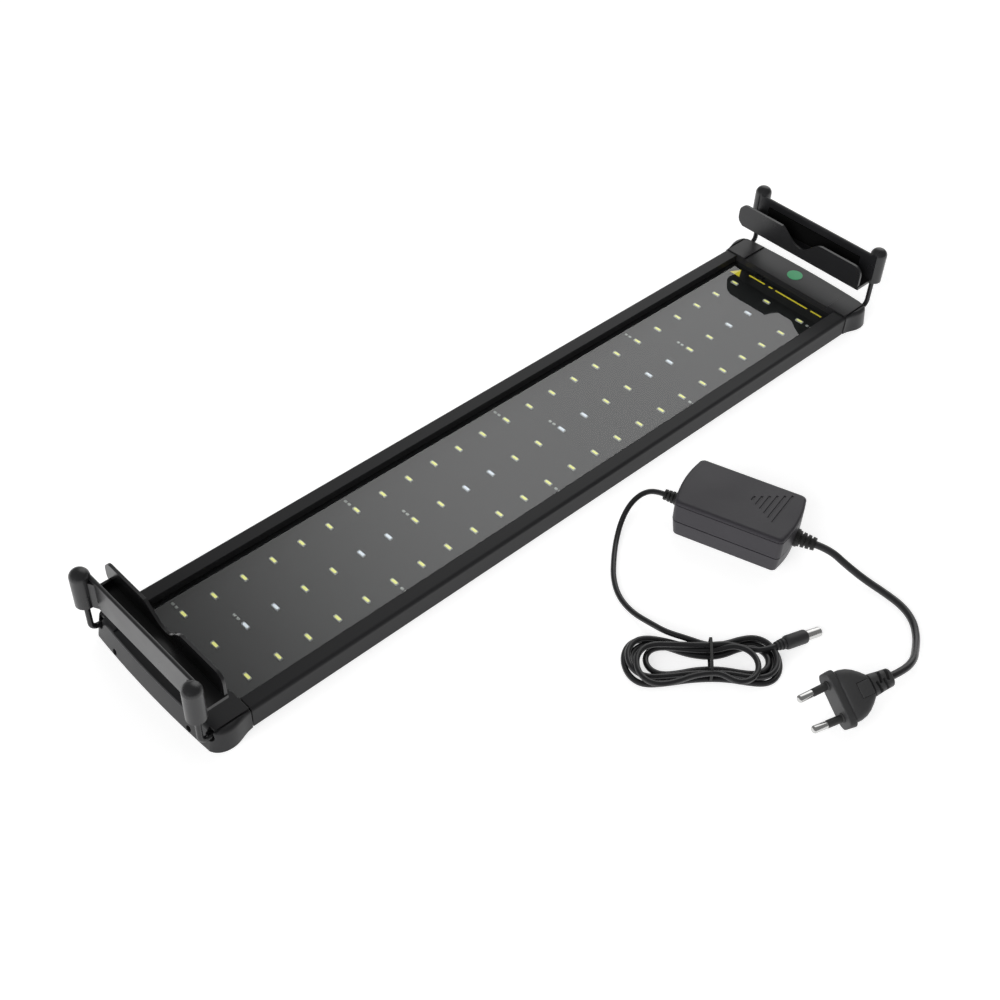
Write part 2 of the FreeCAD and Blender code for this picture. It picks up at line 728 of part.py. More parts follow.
def clip_lug(side):
    """Domed boss on the outer wall that takes one leg, with a web to the wall."""
    y = side * ROD_Y
    boss = Part.makeCylinder(LUG_RADIUS, LUG_CYLINDER_TOP - CLIP_BOTTOM, V(LEG_X, y, CLIP_BOTTOM))
    dome = Part.makeSphere(LUG_RADIUS)
    flatten = FreeCAD.Matrix()
    flatten.scale(1, 1, LUG_DOME_HEIGHT / LUG_RADIUS)
    dome = dome.transformGeometry(flatten)
    dome.translate(V(LEG_X, y, LUG_CYLINDER_TOP))
    web_y = side * (ROD_Y - LUG_WEB_REACH)
    top = LUG_CYLINDER_TOP - LUG_WEB_DROP
    corners = [V(CLIP_WALL_OUTER_X - 1, y, CLIP_BOTTOM), V(LEG_X + 2, y, CLIP_BOTTOM),
               V(CLIP_WALL_OUTER_X, web_y, CLIP_BOTTOM), V(CLIP_WALL_OUTER_X - 1, web_y, CLIP_BOTTOM)]
    web = ring_of_points(corners).extrude(V(0, 0, top - CLIP_BOTTOM))
    return union([boss, dome, web])


def clip():
    """U-shaped clip that stands on the tank's rim: floor, outer wall, lobed inner wall."""
    w = CLIP_WALL_HALF_WIDTH
    wall = box(CLIP_WALL_INNER_X, CLIP_WALL_OUTER_X, -w, w, CLIP_BOTTOM, CLIP_WALL_TOP)
    top_edges = [e for e in wall.Edges
                 if e.BoundBox.ZMin > CLIP_WALL_TOP - 0.01 and e.BoundBox.YLength > w]
    wall = wall.makeFillet(0.9, top_edges)
    floor = box(CLIP_LIP_X, CLIP_WALL_OUTER_X, -w, w, CLIP_BOTTOM, CLIP_BOTTOM + CLIP_FLOOR)
    rib_y = w - CLIP_RIB_THICKNESS
    cross = box(CLIP_LIP_X, CLIP_WALL_OUTER_X, rib_y, w, CLIP_BOTTOM,
                CLIP_BOTTOM + CLIP_FLOOR + CLIP_RIB_HEIGHT)
    body = union([wall, floor, cross, clip_lip(), clip_lug(-1), clip_lug(1)])
    slot = box(CLIP_LIP_X + CLIP_LIP_THICKNESS, CLIP_WALL_INNER_X, -w - 5, rib_y,
               CLIP_BOTTOM + CLIP_FLOOR, CLIP_WALL_TOP + 10)
    bores = [rod(ROD_RADIUS, V(LEG_X, side * ROD_Y, CLIP_BOTTOM - 1), V(LEG_X, side * ROD_Y, LEG_TOP))
             for side in (-1, 1)]
    return body.cut([slot] + bores)


def clip_pad():
    """Soft strip glued in the slot, on the outer wall."""
    x1 = CLIP_WALL_INNER_X
    z0 = CLIP_BOTTOM + CLIP_FLOOR + 1.0
    return box(x1 - PAD_THICKNESS, x1, -PAD_HALF_LENGTH, PAD_HALF_LENGTH, z0, z0 + PAD_HEIGHT)


def green_dot():
    base = V(DOT_X, DOT_Y, COVER_TOP)
    return Part.makeCylinder(DOT_RADIUS, DOT_THICKNESS, base)


# ================================================================ mains adapter
# Drawn with its length along X, its floor at z = 0, then placed.
def adapter_outline(inset, z):
    """Rectangle with rounded corners and ends that bulge a little."""
    half_l = ADAPTER_LENGTH / 2 - inset
    half_w = ADAPTER_WIDTH / 2 - inset
    r = ADAPTER_CORNER_RADIUS
    bulge = ADAPTER_BULGE
    s = r * (1 - math.sqrt(0.5))
    edges = [
        Part.makeLine(V(-half_l + r, -half_w, z), V(half_l - r, -half_w, z)),
        Part.Arc(V(half_l - r, -half_w, z), V(half_l - s, -half_w + s, z),
                 V(half_l, -half_w + r, z)).toShape(),
        Part.Arc(V(half_l, -half_w + r, z), V(half_l + bulge, 0, z),
                 V(half_l, half_w - r, z)).toShape(),
        Part.Arc(V(half_l, half_w - r, z), V(half_l - s, half_w - s, z),
                 V(half_l - r, half_w, z)).toShape(),
        Part.makeLine(V(half_l - r, half_w, z), V(-half_l + r, half_w, z)),
        Part.Arc(V(-half_l + r, half_w, z), V(-half_l + s, half_w - s, z),
                 V(-half_l, half_w - r, z)).toShape(),
        Part.Arc(V(-half_l, half_w - r, z), V(-half_l - bulge, 0, z),
                 V(-half_l, -half_w + r, z)).toShape(),
        Part.Arc(V(-half_l, -half_w + r, z), V(-half_l + s, -half_w + s, z),
                 V(-half_l + r, -half_w, z)).toShape(),
    ]
    return Part.Wire(edges)


def adapter_slice(inset0, z0, inset1, z1):
    return Part.makeLoft([adapter_outline(inset0, z0), adapter_outline(inset1, z1)], True, True)


def relief_bores():
    cuts = []
    for sign, shift, z, radii in ((1, AC_RELIEF_SHIFT, AC_RELIEF_Z, AC_RELIEF_RADII),
                                  (-1, DC_RELIEF_SHIFT, DC_RELIEF_Z, DC_RELIEF_RADII)):
        start = V(sign * (ADAPTER_LENGTH / 2 - ADAPTER_WALL - 1), shift, z)
        end = V(sign * (ADAPTER_LENGTH / 2 + ADAPTER_BULGE + 1), shift, z)
        cuts.append(rod(radii[1], start, end))
    return cuts


def adapter_top():
    """Upper shell with a rounded top edge, a shadow groove and a slatted triangle."""
    edge = ADAPTER_EDGE_RADIUS
    top = ADAPTER_HEIGHT
    groove_z = top - ADAPTER_GROOVE_DROP
    width = ADAPTER_GROOVE_WIDTH
    slices = [adapter_slice(0, ADAPTER_PARTING, 0, groove_z),
              adapter_slice(ADAPTER_GROOVE_DEPTH, groove_z, ADAPTER_GROOVE_DEPTH, groove_z + width),
              adapter_slice(0, groove_z + width, 0, top - edge)]
    steps = 4
    for i in range(steps):
        a0 = math.pi / 2 * i / steps
        a1 = math.pi / 2 * (i + 1) / steps
        slices.append(adapter_slice(edge * (1 - math.cos(a0)), top - edge + edge * math.sin(a0),
                                    edge * (1 - math.cos(a1)), top - edge + edge * math.sin(a1)))
    body = union(slices)
    inside = adapter_slice(ADAPTER_WALL, ADAPTER_PARTING - 1, ADAPTER_WALL, top - ADAPTER_WALL)
    return body.cut([inside] + relief_bores() + adapter_slats())


def adapter_slats():
    """Shallow slanted grooves that together fill a triangle on the lid."""
    cuts = []
    for i in range(SLAT_COUNT):
        half = 1.8 + 2.1 * i
        slat = box(-half, half, -SLAT_WIDTH / 2, SLAT_WIDTH / 2, ADAPTER_HEIGHT - SLAT_DEPTH,
                   ADAPTER_HEIGHT + 1)
        cuts.append(place(slat, V(SLAT_FIRST_X + SLAT_PITCH * i, SLAT_MIDDLE_Y, 0), -97))
    return cuts


def adapter_bottom():
    """Lower shell; it tapers in towards its base and steps in at the seam."""
    seam_z = ADAPTER_PARTING - ADAPTER_SEAM_WIDTH
    shell = adapter_slice(ADAPTER_TAPER, 0, 0.15, seam_z)
    step = adapter_slice(ADAPTER_SEAM_DEPTH, seam_z, ADAPTER_SEAM_DEPTH, ADAPTER_PARTING)
    body = union([shell, step])
    inside = adapter_slice(ADAPTER_WALL + ADAPTER_TAPER, ADAPTER_WALL, ADAPTER_WALL,
                           ADAPTER_PARTING + 1)
    wells = []
    for x, y in screw_places():
        wells.append(rod(2.4, V(x, y, -1), V(x, y, 1.0)))
        wells.append(rod(1.1, V(x, y, 0), V(x, y, ADAPTER_WALL + 1)))
    return body.cut([inside] + relief_bores() + wells)


def screw_places():
    x = ADAPTER_LENGTH / 2 - 7
    y = ADAPTER_WIDTH / 2 - 7
    return ((x, -y), (-x, y))


def adapter_screws():
    screws = []
    for x, y in screw_places():
        head = rod(2.2, V(x, y, 0.2), V(x, y, 1.0))
        cross = box(x - 1.3, x + 1.3, y - 0.3, y + 0.3, 0, 0.6)
        shaft = rod(1.0, V(x, y, 1.0), V(x, y, 5.0))
        screws.append(head.cut(cross).fuse(shaft).removeSplitter())
    return screws


def adapter_board():
    return box(-24, 24, -14.5, 14.5, 5.4, 7.0)


def adapter_transformer():
    core = rounded_prism(8, 7.5, 1.0, 7.0, 18.5)
    return place(core, V(-2, 0, 0), 0)


def adapter_capacitors():
    cans = []
    for x, y, radius, height in ((15, 6.5, 5.0, 13.0), (15, -6, 3.6, 10.0), (-17, 5, 4.0, 11.0)):
        cans.append(Part.makeCylinder(radius, height, V(x, y, 7.0)))
    return cans


def ribbed_relief(length, radii, inner, flange):
    """Tapered sleeve along +X with ring grooves, a flange and a tail inside the wall."""
    sleeve = Part.makeCone(radii[0] - 0.2, radii[1] * 0.9, length)
    sleeve.rotate(V(0, 0, 0), V(0, 1, 0), 90)
    rings = []
    pitch = length / (RELIEF_RIBS + 1)
    for i in range(RELIEF_RIBS):
        x = pitch * (i + 0.9)
        outer = radii[0] + (radii[1] - radii[0]) * x / length
        disc = rod(outer + 1, V(x, 0, 0), V(x + pitch * 0.4, 0, 0))
        rings.append(disc.cut(rod(outer - 1.5, V(x - 1, 0, 0), V(x + pitch, 0, 0))))
    sleeve = sleeve.cut(rings)
    plate = rod(flange, V(-0.2, 0, 0), V(1.2, 0, 0))
    tail = rod(radii[1] - 0.05, V(-inner, 0, 0), V(0, 0, 0))
    return union([sleeve, plate, tail])


def ac_relief():
    body = ribbed_relief(AC_RELIEF_LENGTH, AC_RELIEF_RADII, ADAPTER_WALL + 1.5, 5.0)
    return place(body, V(ADAPTER_LENGTH / 2 + ADAPTER_BULGE, AC_RELIEF_SHIFT, AC_RELIEF_Z), 0)


def dc_relief():
    body = ribbed_relief(DC_RELIEF_LENGTH, DC_RELIEF_RADII, ADAPTER_WALL + 1.5, 3.6)
    return place(body, V(-ADAPTER_LENGTH / 2 - ADAPTER_BULGE, DC_RELIEF_SHIFT, DC_RELIEF_Z), 180)


def in_adapter(shape):
    if isinstance(shape, list):
        shape = Part.makeCompound(shape)
    return place(shape, ADAPTER_CENTRE, ADAPTER_ANGLE)


# ================================================================ mains plug
# Drawn with its pins along +X from x = 0 and its thickness along Z, then placed.
def plug_body():
    """Flat two-pin plug: a wide face block that narrows to a slotted tail."""
    half = PLUG_THICKNESS / 2
    wide = PLUG_WIDTH / 2
    neck = PLUG_NECK_WIDTH / 2
    depth = PLUG_FACE_DEPTH
    length = PLUG_BODY_LENGTH
    face = rounded_prism(depth / 2, wide, 1.2, -half * 0.86, half * 0.86)
    face.translate(V(-depth / 2, 0, 0))
    top = Part.BSplineCurve()
    top.interpolate([V(-depth + 1, wide - 1.2, -half), V(-depth - 4, wide - 2.0, -half),
                     V(-depth - 10, wide - 5.2, -half), V(-length, neck, -half)])
    low = Part.BSplineCurve()
    low.interpolate([V(-length, -neck, -half), V(-depth - 10, -wide + 5.2, -half),
                     V(-depth - 4, -wide + 2.0, -half), V(-depth + 1, -wide + 1.2, -half)])
    outline = Part.Wire([top.toShape(), Part.makeLine(V(-length, neck, -half), V(-length, -neck, -half)),
                         low.toShape(),
                         Part.makeLine(V(-depth + 1, -wide + 1.2, -half), V(-depth + 1, wide - 1.2, -half))])
    middle = Part.Face(outline).extrude(V(0, 0, PLUG_THICKNESS))
    rim = [e for e in middle.Edges if abs(e.BoundBox.ZLength) < 0.01 and e.BoundBox.XLength > 5]
    middle = middle.makeFillet(2.2, rim)
    tail = Part.makeCone(neck - 0.6, PLUG_TAIL_RADIUS, PLUG_LENGTH - length + 1)
    tail.rotate(V(0, 0, 0), V(0, 1, 0), -90)
    tail.translate(V(-length + 1, 0, 0))
    slots = []
    for i in range(3):
        x = -length - 3.5 - 3.8 * i
        for side in (-1, 1):
            shift = side * 3.4 if i % 2 else side * 3.0
            slots.append(box(x - 0.8, x + 0.8, shift - 2.4, shift + 2.4, 2.2, 9))
            slots.append(box(x - 0.8, x + 0.8, shift - 2.4, shift + 2.4, -9, -2.2))
    tail = tail.cut(slots)
    body = union([face, middle, tail])
    sockets = [lean_in(rod(PIN_RADIUS, V(-PIN_ROOT_DEPTH, y, 0), V(1, y, 0)), y)
               for y in pin_places()]
    return body.cut(sockets)


def pin_places():
    return (-PIN_SPACING / 2, PIN_SPACING / 2)


def lean_in(shape, y):
    """Turns a pin about its own root so that the two tips come a little closer."""
    turned = shape.copy()
    turned.rotate(V(0, y, 0), UP, -math.copysign(PIN_LEAN, y))
    return turned


def plug_pins():
    """Metal pins: bare rounded tips, thinner cores inside the sleeves."""
    pins = []
    for y in pin_places():
        core = rod(PIN_RADIUS - 0.35, V(-PIN_ROOT_DEPTH, y, 0), V(PIN_SLEEVE_LENGTH, y, 0))
        tip = rod(PIN_RADIUS, V(PIN_SLEEVE_LENGTH, y, 0), V(PIN_LENGTH - 1.2, y, 0))
        nose = Part.makeCone(PIN_RADIUS, PIN_RADIUS - 1.0, 1.2, V(PIN_LENGTH - 1.2, y, 0), V(1, 0, 0))
        pins.append(lean_in(union([core, tip, nose]), y))
    return pins


def plug_sleeves():
    sleeves = []
    for y in pin_places():
        outer = rod(PIN_RADIUS, V(-PIN_ROOT_DEPTH, y, 0), V(PIN_SLEEVE_LENGTH, y, 0))
        inner = rod(PIN_RADIUS - 0.35, V(-PIN_ROOT_DEPTH - 1, y, 0), V(PIN_SLEEVE_LENGTH + 1, y, 0))
        sleeves.append(lean_in(outer.cut(inner), y))
    return sleeves


def on_plug(shape):
    if isinstance(shape, list):
        shape = Part.makeCompound(shape)
    rolled = shape.copy()
    rolled.rotate(V(0, 0, 0), V(1, 0, 0), PLUG_ROLL)
    return place(rolled, PLUG_FRONT, PLUG_ANGLE)


# ================================================================ tied lead and its connector
def hank_outline():
    """Closed curve round the tied lead, wide at both ends and narrow at the tie."""
    points = [V(a, b, 0) for a, b in HANK_OUTLINE]
    curve = Part.BSplineCurve()
    curve.interpolate(points, True)
    return Part.Face(Part.Wire(curve.toShape()))


def dc_hank():
    body = hank_outline().extrude(V(0, 0, HANK_HEIGHT))
    rims = [e for e in body.Edges if e.BoundBox.ZLength < 0.01]
    body = body.makeFillet(2.5, rims)
    return place(body, HANK_CENTRE, HANK_ANGLE)


def hank_tie():
    """Flat wire tie round the waist of the hank."""
    half_w = TIE_WIDTH / 2
    low = -13.5
    high = 11.7
    wall = TIE_THICKNESS
    outer = box(TIE_SHIFT - half_w, TIE_SHIFT + half_w, low - wall, high + wall, 0,
                HANK_HEIGHT + wall)
    inner = box(TIE_SHIFT - half_w - 1, TIE_SHIFT + half_w + 1, low, high, wall, HANK_HEIGHT)
    return place(outer.cut(inner), HANK_CENTRE, HANK_ANGLE)


def connector_body():
    boot = Part.makeCone(CONNECTOR_BOOT_RADII[0], CONNECTOR_BOOT_RADII[1], CONNECTOR_BOOT_LENGTH,
                         V(0, 0, 0), V(1, 0, 0))
    x0 = CONNECTOR_BOOT_LENGTH
    x1 = x0 + CONNECTOR_BODY_LENGTH
    barrel = rod(CONNECTOR_BODY_RADIUS, V(x0, 0, 0), V(x1, 0, 0))
    rims = [e for e in barrel.Edges if e.BoundBox.XLength < 0.01]
    barrel = barrel.makeFillet(0.9, rims)
    seat = rod(BARREL_RADIUS, V(x1 - 4, 0, 0), V(x1 + 1, 0, 0))
    return boot.fuse(barrel).removeSplitter().cut(seat)


def connector_barrel():
    x0 = CONNECTOR_BOOT_LENGTH + CONNECTOR_BODY_LENGTH
    outer = rod(BARREL_RADIUS, V(x0 - 4, 0, 0), V(x0 + BARREL_LENGTH, 0, 0))
    return outer.cut(rod(BARREL_RADIUS - BARREL_WALL, V(x0 - 5, 0, 0), V(x0 + BARREL_LENGTH + 1, 0, 0)))


def connector_insulator():
    x0 = CONNECTOR_BOOT_LENGTH + CONNECTOR_BODY_LENGTH
    outer = rod(BARREL_RADIUS - BARREL_WALL, V(x0 - 4, 0, 0), V(x0 + BARREL_LENGTH, 0, 0))
    return outer.cut(rod(BARREL_BORE_RADIUS, V(x0 - 2, 0, 0), V(x0 + BARREL_LENGTH + 1, 0, 0)))


def on_connector(shape):
    dipped = shape.copy()
    dipped.rotate(V(0, 0, 0), V(0, 1, 0), CONNECTOR_DIP)
    return place(dipped, CONNECTOR_START, CONNECTOR_ANGLE)


# ================================================================ assembly
def save_lamp():
    save("frame_extrusion", frame_extrusion())
    save("led_board", led_board())
    save("white_leds", led_chips(False))
    save("blue_leds", led_chips(True))
    save("board_resistors", board_resistors())
    save("spacer_strips", spacer_strips())
    save("cover_glass", cover_glass())
    save("panel_marks", panel_marks())
    save("green_dot", green_dot())
    save("dc_jack", dc_jack())
    save("jack_contacts", jack_contacts())


def save_side(side):
    """Parts that exist at both ends; the left ones are mirror images of the right ones."""
    def to_side(shape):
        if isinstance(shape, list):
            shape = Part.makeCompound(shape)
        return shape if side == "right" else mirror_x(shape)

    save(side + "_cap", to_side(cap(side == "right")))
    save(side + "_cap_cover", to_side(cap_cover()))
    save(side + "_cap_screws", to_side(cap_screws()))
    save(side + "_rod_guides", to_side(rod_guides()))
    save(side + "_rod_stops", to_side(rod_stops()))
    save(side + "_rod_near", to_side(bracket_rod(-ROD_Y)))
    save(side + "_rod_far", to_side(bracket_rod(ROD_Y)))
    save(side + "_clip", to_side(clip()))
    save(side + "_clip_pad", to_side(clip_pad()))


def save_power_supply():
    save("adapter_top", in_adapter(adapter_top()))
    save("adapter_bottom", in_adapter(adapter_bottom()))
    save("adapter_screws", in_adapter(adapter_screws()))
    save("adapter_board", in_adapter(adapter_board()))
    save("adapter_transformer", in_adapter(adapter_transformer()))
    save("adapter_capacitors", in_adapter(adapter_capacitors()))
    save("ac_relief", in_adapter(ac_relief()))
    save("dc_relief", in_adapter(dc_relief()))
    save("ac_cord", cord_tube("ac_cord", AC_ROUTE, AC_CORD_DIAMETER))
    save("plug_body", on_plug(plug_body()))
    save("plug_pins", on_plug(plug_pins()))
    save("plug_sleeves", on_plug(plug_sleeves()))
    save("dc_cord", cord_tube("dc_cord", DC_ROUTE, DC_CORD_DIAMETER))
    save("dc_hank", dc_hank())
    save("hank_tie", hank_tie())
    save("connector_body", on_connector(connector_body()))
    save("connector_barrel", on_connector(connector_barrel()))
    save("connector_insulator", on_connector(connector_insulator()))


os.makedirs("parts", exist_ok=True)
save_lamp()
save_side("left")
save_side("right")
save_power_supply()
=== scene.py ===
import json
import math

import bmesh
import bpy
from mathutils import Matrix, Vector


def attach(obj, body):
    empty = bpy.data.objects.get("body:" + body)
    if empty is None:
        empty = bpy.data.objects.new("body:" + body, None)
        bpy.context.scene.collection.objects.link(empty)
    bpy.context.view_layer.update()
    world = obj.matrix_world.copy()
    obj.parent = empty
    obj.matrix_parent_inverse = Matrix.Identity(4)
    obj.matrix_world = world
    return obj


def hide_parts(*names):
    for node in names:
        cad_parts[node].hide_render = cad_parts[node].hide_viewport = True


# Extendable LED aquarium light with its mains adapter, on a pale studio floor.
# All lengths are in metres unless a name ends in _MM.

MM = 0.001

# ---------------------------------------------------------------- camera
CAMERA_PLACE = (-0.4457, -0.4182, 0.5633)
CAMERA_RIGHT = (0.72589, -0.68686, 0.03616)
CAMERA_UP = (0.46255, 0.52639, 0.71341)
CAMERA_FORWARD = (0.50905, 0.50113, -0.69981)
CAMERA_LENS_MM = 52.89

# studio light: even backdrop and one soft glow, its edge and core as cosines
GLOW_TOWARD = (0.74, 0.40, 0.54)
GLOW_EDGE = 0.83
GLOW_CORE = 0.965
BACKDROP_STRENGTH = 0.25
GLOW_STRENGTH = 1.6

# wide enough that its edges read as one straight horizon
FLOOR_HALF_WIDTH = 40.0

# one pane stands for its two faces, so its index is higher than plain glass
GLASS_IOR = 1.9

# ---------------------------------------------------------------- mains lead
AC_DIAMETER = 0.004
AC_ROUTE = (
    (0.05893, -0.15622, 0.0100),
    (0.06157, -0.16388, 0.0100),
    (0.06260, -0.17460, 0.0064),
    (0.06420, -0.18660, 0.0032),
    (0.06540, -0.19880, 0.0022),
    (0.06470, -0.21020, 0.0022),
    (0.06040, -0.21990, 0.0022),
    (0.05240, -0.22720, 0.0030),
    (0.04260, -0.23280, 0.0062),
    (0.03120, -0.23820, 0.0110),
    (0.02070, -0.23910, 0.0128),
    (0.01200, -0.23680, 0.0128),
)

# ---------------------------------------------------------------- mains plug
PLUG_FRONT = (-0.0199, -0.2283, 0.0128)
PLUG_TURN = 165.0
PLUG_ROLL = -30.0
PIN_OFFSET = 0.0083
PIN_LEAN = 2.0

# ---------------------------------------------------------------- low-voltage lead
DC_DIAMETER = 0.0030
DC_ROUTE = (
    (0.02633, -0.07853, 0.0110),
    (0.02438, -0.07286, 0.0110),
    (0.01840, -0.06920, 0.0100),
    (0.00980, -0.06880, 0.0074),
    (-0.00060, -0.07240, 0.0044),
    (-0.01220, -0.07960, 0.0020),
    (-0.02270, -0.08790, 0.0015),
    (-0.03280, -0.09710, 0.0015),
    (-0.04000, -0.10780, 0.0015),
    (-0.04280, -0.11980, 0.0017),
    (-0.04240, -0.13240, 0.0036),
)

# hank of turns: a runs along it and b across it, both in millimetres from its middle
HANK_CENTRE = (-0.0415, -0.1655)
HANK_TURN = -41.8
WAIST_MM = 4.0
HANK_ENTRY_MM = ((-16.2, 15.6, 7.0), (-6.5, 12.0, 6.6))
# one row per turn: waist top b, z; right lobe reach, top, low, z;
# waist bottom b, z; left lobe reach, top, low, z
HANK_TURNS_MM = (
    (8.6, 5.0, 37.8, 14.4, -11.5, 4.6, -8.0, 4.5, -37.3, 14.0, -11.0, 4.6),
    (9.8, 1.6, 39.4, 15.9, -13.0, 1.6, -9.6, 1.6, -39.0, 15.5, -13.5, 1.6),
    (6.8, 1.6, 36.2, 12.8, -10.0, 1.6, -6.6, 1.6, -35.4, 12.5, -9.4, 1.6),
    (3.8, 1.7, 33.4, 9.0, -8.2, 3.5, -3.6, 1.7, -28.4, 8.8, -8.6, 3.5),
    (5.4, 5.0, 27.0, 6.4, -16.4, 7.4, -10.4, 7.4, -33.8, 7.6, -17.8, 7.4),
)
HANK_EXIT_MM = ((4.0, 7.0, 7.4), (12.0, 8.6, 6.6), (19.0, 7.4, 6.0), (26.0, 5.2, 5.8))
# flank of a lobe: share of its length, share of its rise; then its rounded end in degrees
FLANK_STEPS = ((0.36, 0.20), (0.72, 0.78))
LOBE_ANGLES = (86.0, 52.0, 18.0, -18.0, -52.0, -86.0)
LOBE_END_MM = 10.5

# ---------------------------------------------------------------- tie round the hank's waist
TIE_HALF_WIDTH = 0.0007
TIE_HALF_ACROSS = 0.0120
TIE_HALF_HEIGHT = 0.0047
TIE_MIDDLE_Z = 0.0048
TIE_LEAN = 0.0012
TIE_STEPS = 64

# ---------------------------------------------------------------- connector
CONNECTOR_START = (-0.0085, -0.1847, 0.0056)
CONNECTOR_TURN = -16.0
CONNECTOR_DIP = 5.0

# ---------------------------------------------------------------- LED packages
PACKAGE_STEPS = 28

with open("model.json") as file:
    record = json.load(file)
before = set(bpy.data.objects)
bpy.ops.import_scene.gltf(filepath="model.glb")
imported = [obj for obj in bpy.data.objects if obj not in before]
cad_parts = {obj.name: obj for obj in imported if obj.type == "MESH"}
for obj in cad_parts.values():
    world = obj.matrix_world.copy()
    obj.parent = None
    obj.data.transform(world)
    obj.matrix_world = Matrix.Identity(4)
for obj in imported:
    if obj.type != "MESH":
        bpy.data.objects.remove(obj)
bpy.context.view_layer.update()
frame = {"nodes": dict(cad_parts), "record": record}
nodes = frame["nodes"]


# ================================================================ materials
def new_material(name):
    """A node material with its Principled shader, which every recipe here starts from."""
    material = bpy.data.materials.new(name)
    material.use_nodes = True
    shader = material.node_tree.nodes["Principled BSDF"]
    return material, material.node_tree, shader


def add(tree, kind, **values):
    """A shader node with some of its inputs set; names use _ for spaces."""
    node = tree.nodes.new(kind)
    for key, value in values.items():
        node.inputs[key.replace("_", " ")].default_value = value
    return node


def scaled_coordinates(tree, stretch):
    """Object coordinates, stretched so that grain can run along one axis."""
    place = tree.nodes.new("ShaderNodeTexCoord")
    mapping = tree.nodes.new("ShaderNodeMapping")
    mapping.inputs["Scale"].default_value = stretch
    tree.links.new(place.outputs["Object"], mapping.inputs["Vector"])
    return mapping.outputs["Vector"]


def noise(tree, vector, scale, detail=4.0):
    node = add(tree, "ShaderNodeTexNoise", Scale=scale, Detail=detail)
    tree.links.new(vector, node.inputs["Vector"])
    return node.outputs["Fac"]


def remap(tree, value, low, high):
    node = add(tree, "ShaderNodeMapRange", To_Min=low, To_Max=high)
    node.inputs["From Min"].default_value = 0.3
    node.inputs["From Max"].default_value = 0.7
    tree.links.new(value, node.inputs["Value"])
    return node.outputs["Result"]


def blend_colours(tree, factor, first, second):
    node = tree.nodes.new("ShaderNodeMix")
    node.data_type = "RGBA"
    node.inputs[6].default_value = (*first, 1.0)
    node.inputs[7].default_value = (*second, 1.0)
    tree.links.new(factor, node.inputs[0])
    return node.outputs[2]


def surface(name, colour, rough, metal=0.0, tint=0.12, grain=0.15, grain_mm=0.5, edge_mm=0.35,
            stretch=(1.0, 1.0, 1.0), rough_spread=0.05, shine=0.4, painted_glow=0.0):
    """Moulded, painted or drawn surface: mottled colour, uneven gloss, fine grain, soft edges, and an
    optional painted glow in its own colour.
    """
    material, tree, shader = new_material(name)
    vector = scaled_coordinates(tree, stretch)
    broad = noise(tree, vector, 45.0, 3.0)
    fine = noise(tree, vector, 1.0 / (grain_mm * MM), 5.0)
    darker = [c * (1.0 - tint) for c in colour]
    lighter = [min(1.0, c * (1.0 + tint)) for c in colour]
    tree.links.new(blend_colours(tree, broad, darker, lighter), shader.inputs["Base Color"])
    gloss = remap(tree, noise(tree, vector, 35.0, 3.0), rough - rough_spread, rough + rough_spread)
    tree.links.new(gloss, shader.inputs["Roughness"])
    shader.inputs["Metallic"].default_value = metal
    shader.inputs["Specular IOR Level"].default_value = shine
    shader.inputs["Emission Color"].default_value = (*colour, 1.0)
    # painted glow: emission in the surface's own colour, so it shines without any lamp
    shader.inputs["Emission Strength"].default_value = painted_glow
    bump = add(tree, "ShaderNodeBump", Strength=grain, Distance=0.0001)
    tree.links.new(fine, bump.inputs["Height"])
    if edge_mm > 0:
        edge = add(tree, "ShaderNodeBevel", Radius=edge_mm * MM)
        edge.samples = 4
        tree.links.new(edge.outputs["Normal"], bump.inputs["Normal"])
    tree.links.new(bump.outputs["Normal"], shader.inputs["Normal"])
    return material


def clear_pane():
    """Flat glass seen as a clear sheet with mirror-like reflections and faint smears."""
    material, tree, shader = new_material("clear_pane")
    tree.nodes.remove(shader)
    output = tree.nodes["Material Output"]
    through = tree.nodes.new("ShaderNodeBsdfTransparent")
    through.inputs["Color"].default_value = (0.93, 0.95, 0.95, 1.0)
    shine = tree.nodes.new("ShaderNodeBsdfGlossy")
    vector = scaled_coordinates(tree, (1.0, 1.0, 1.0))
    smear = remap(tree, noise(tree, vector, 12.0, 2.0), 0.02, 0.035)
    tree.links.new(smear, shine.inputs["Roughness"])
    angle = add(tree, "ShaderNodeFresnel", IOR=GLASS_IOR)
    side = tree.nodes.new("ShaderNodeNewGeometry")
    front = tree.nodes.new("ShaderNodeMath")
    front.operation = "SUBTRACT"
    front.use_clamp = True
    tree.links.new(angle.outputs["Fac"], front.inputs[0])
    tree.links.new(side.outputs["Backfacing"], front.inputs[1])
    mix = tree.nodes.new("ShaderNodeMixShader")
    tree.links.new(front.outputs[0], mix.inputs[0])
    tree.links.new(through.outputs[0], mix.inputs[1])
    tree.links.new(shine.outputs[0], mix.inputs[2])
    tree.links.new(mix.outputs[0], output.inputs["Surface"])
    return material


def phosphor(name, colour, cell_mm):
    """Soft resin fill of an LED, a little translucent, with a slightly uneven colour and a painted glow
    that lights it from within.
    """
    material, tree, shader = new_material(name)
    vector = scaled_coordinates(tree, (1.0, 1.0, 1.0))
    patches = noise(tree, vector, 1.0 / (cell_mm * MM), 2.0)
    warm = [c * 0.92 for c in colour]
    tree.links.new(blend_colours(tree, patches, warm, colour), shader.inputs["Base Color"])
    shader.inputs["Roughness"].default_value = 0.35
    shader.inputs["Subsurface Weight"].default_value = 0.3
    shader.inputs["Subsurface Radius"].default_value = (0.0008, 0.0008, 0.0005)
    shader.inputs["Subsurface Scale"].default_value = 1.0
    # painted glow: the fill shines in its own colour, though the LED is not lit
    shader.inputs["Emission Color"].default_value = (*colour, 1.0)
    shader.inputs["Emission Strength"].default_value = 0.55
    return material


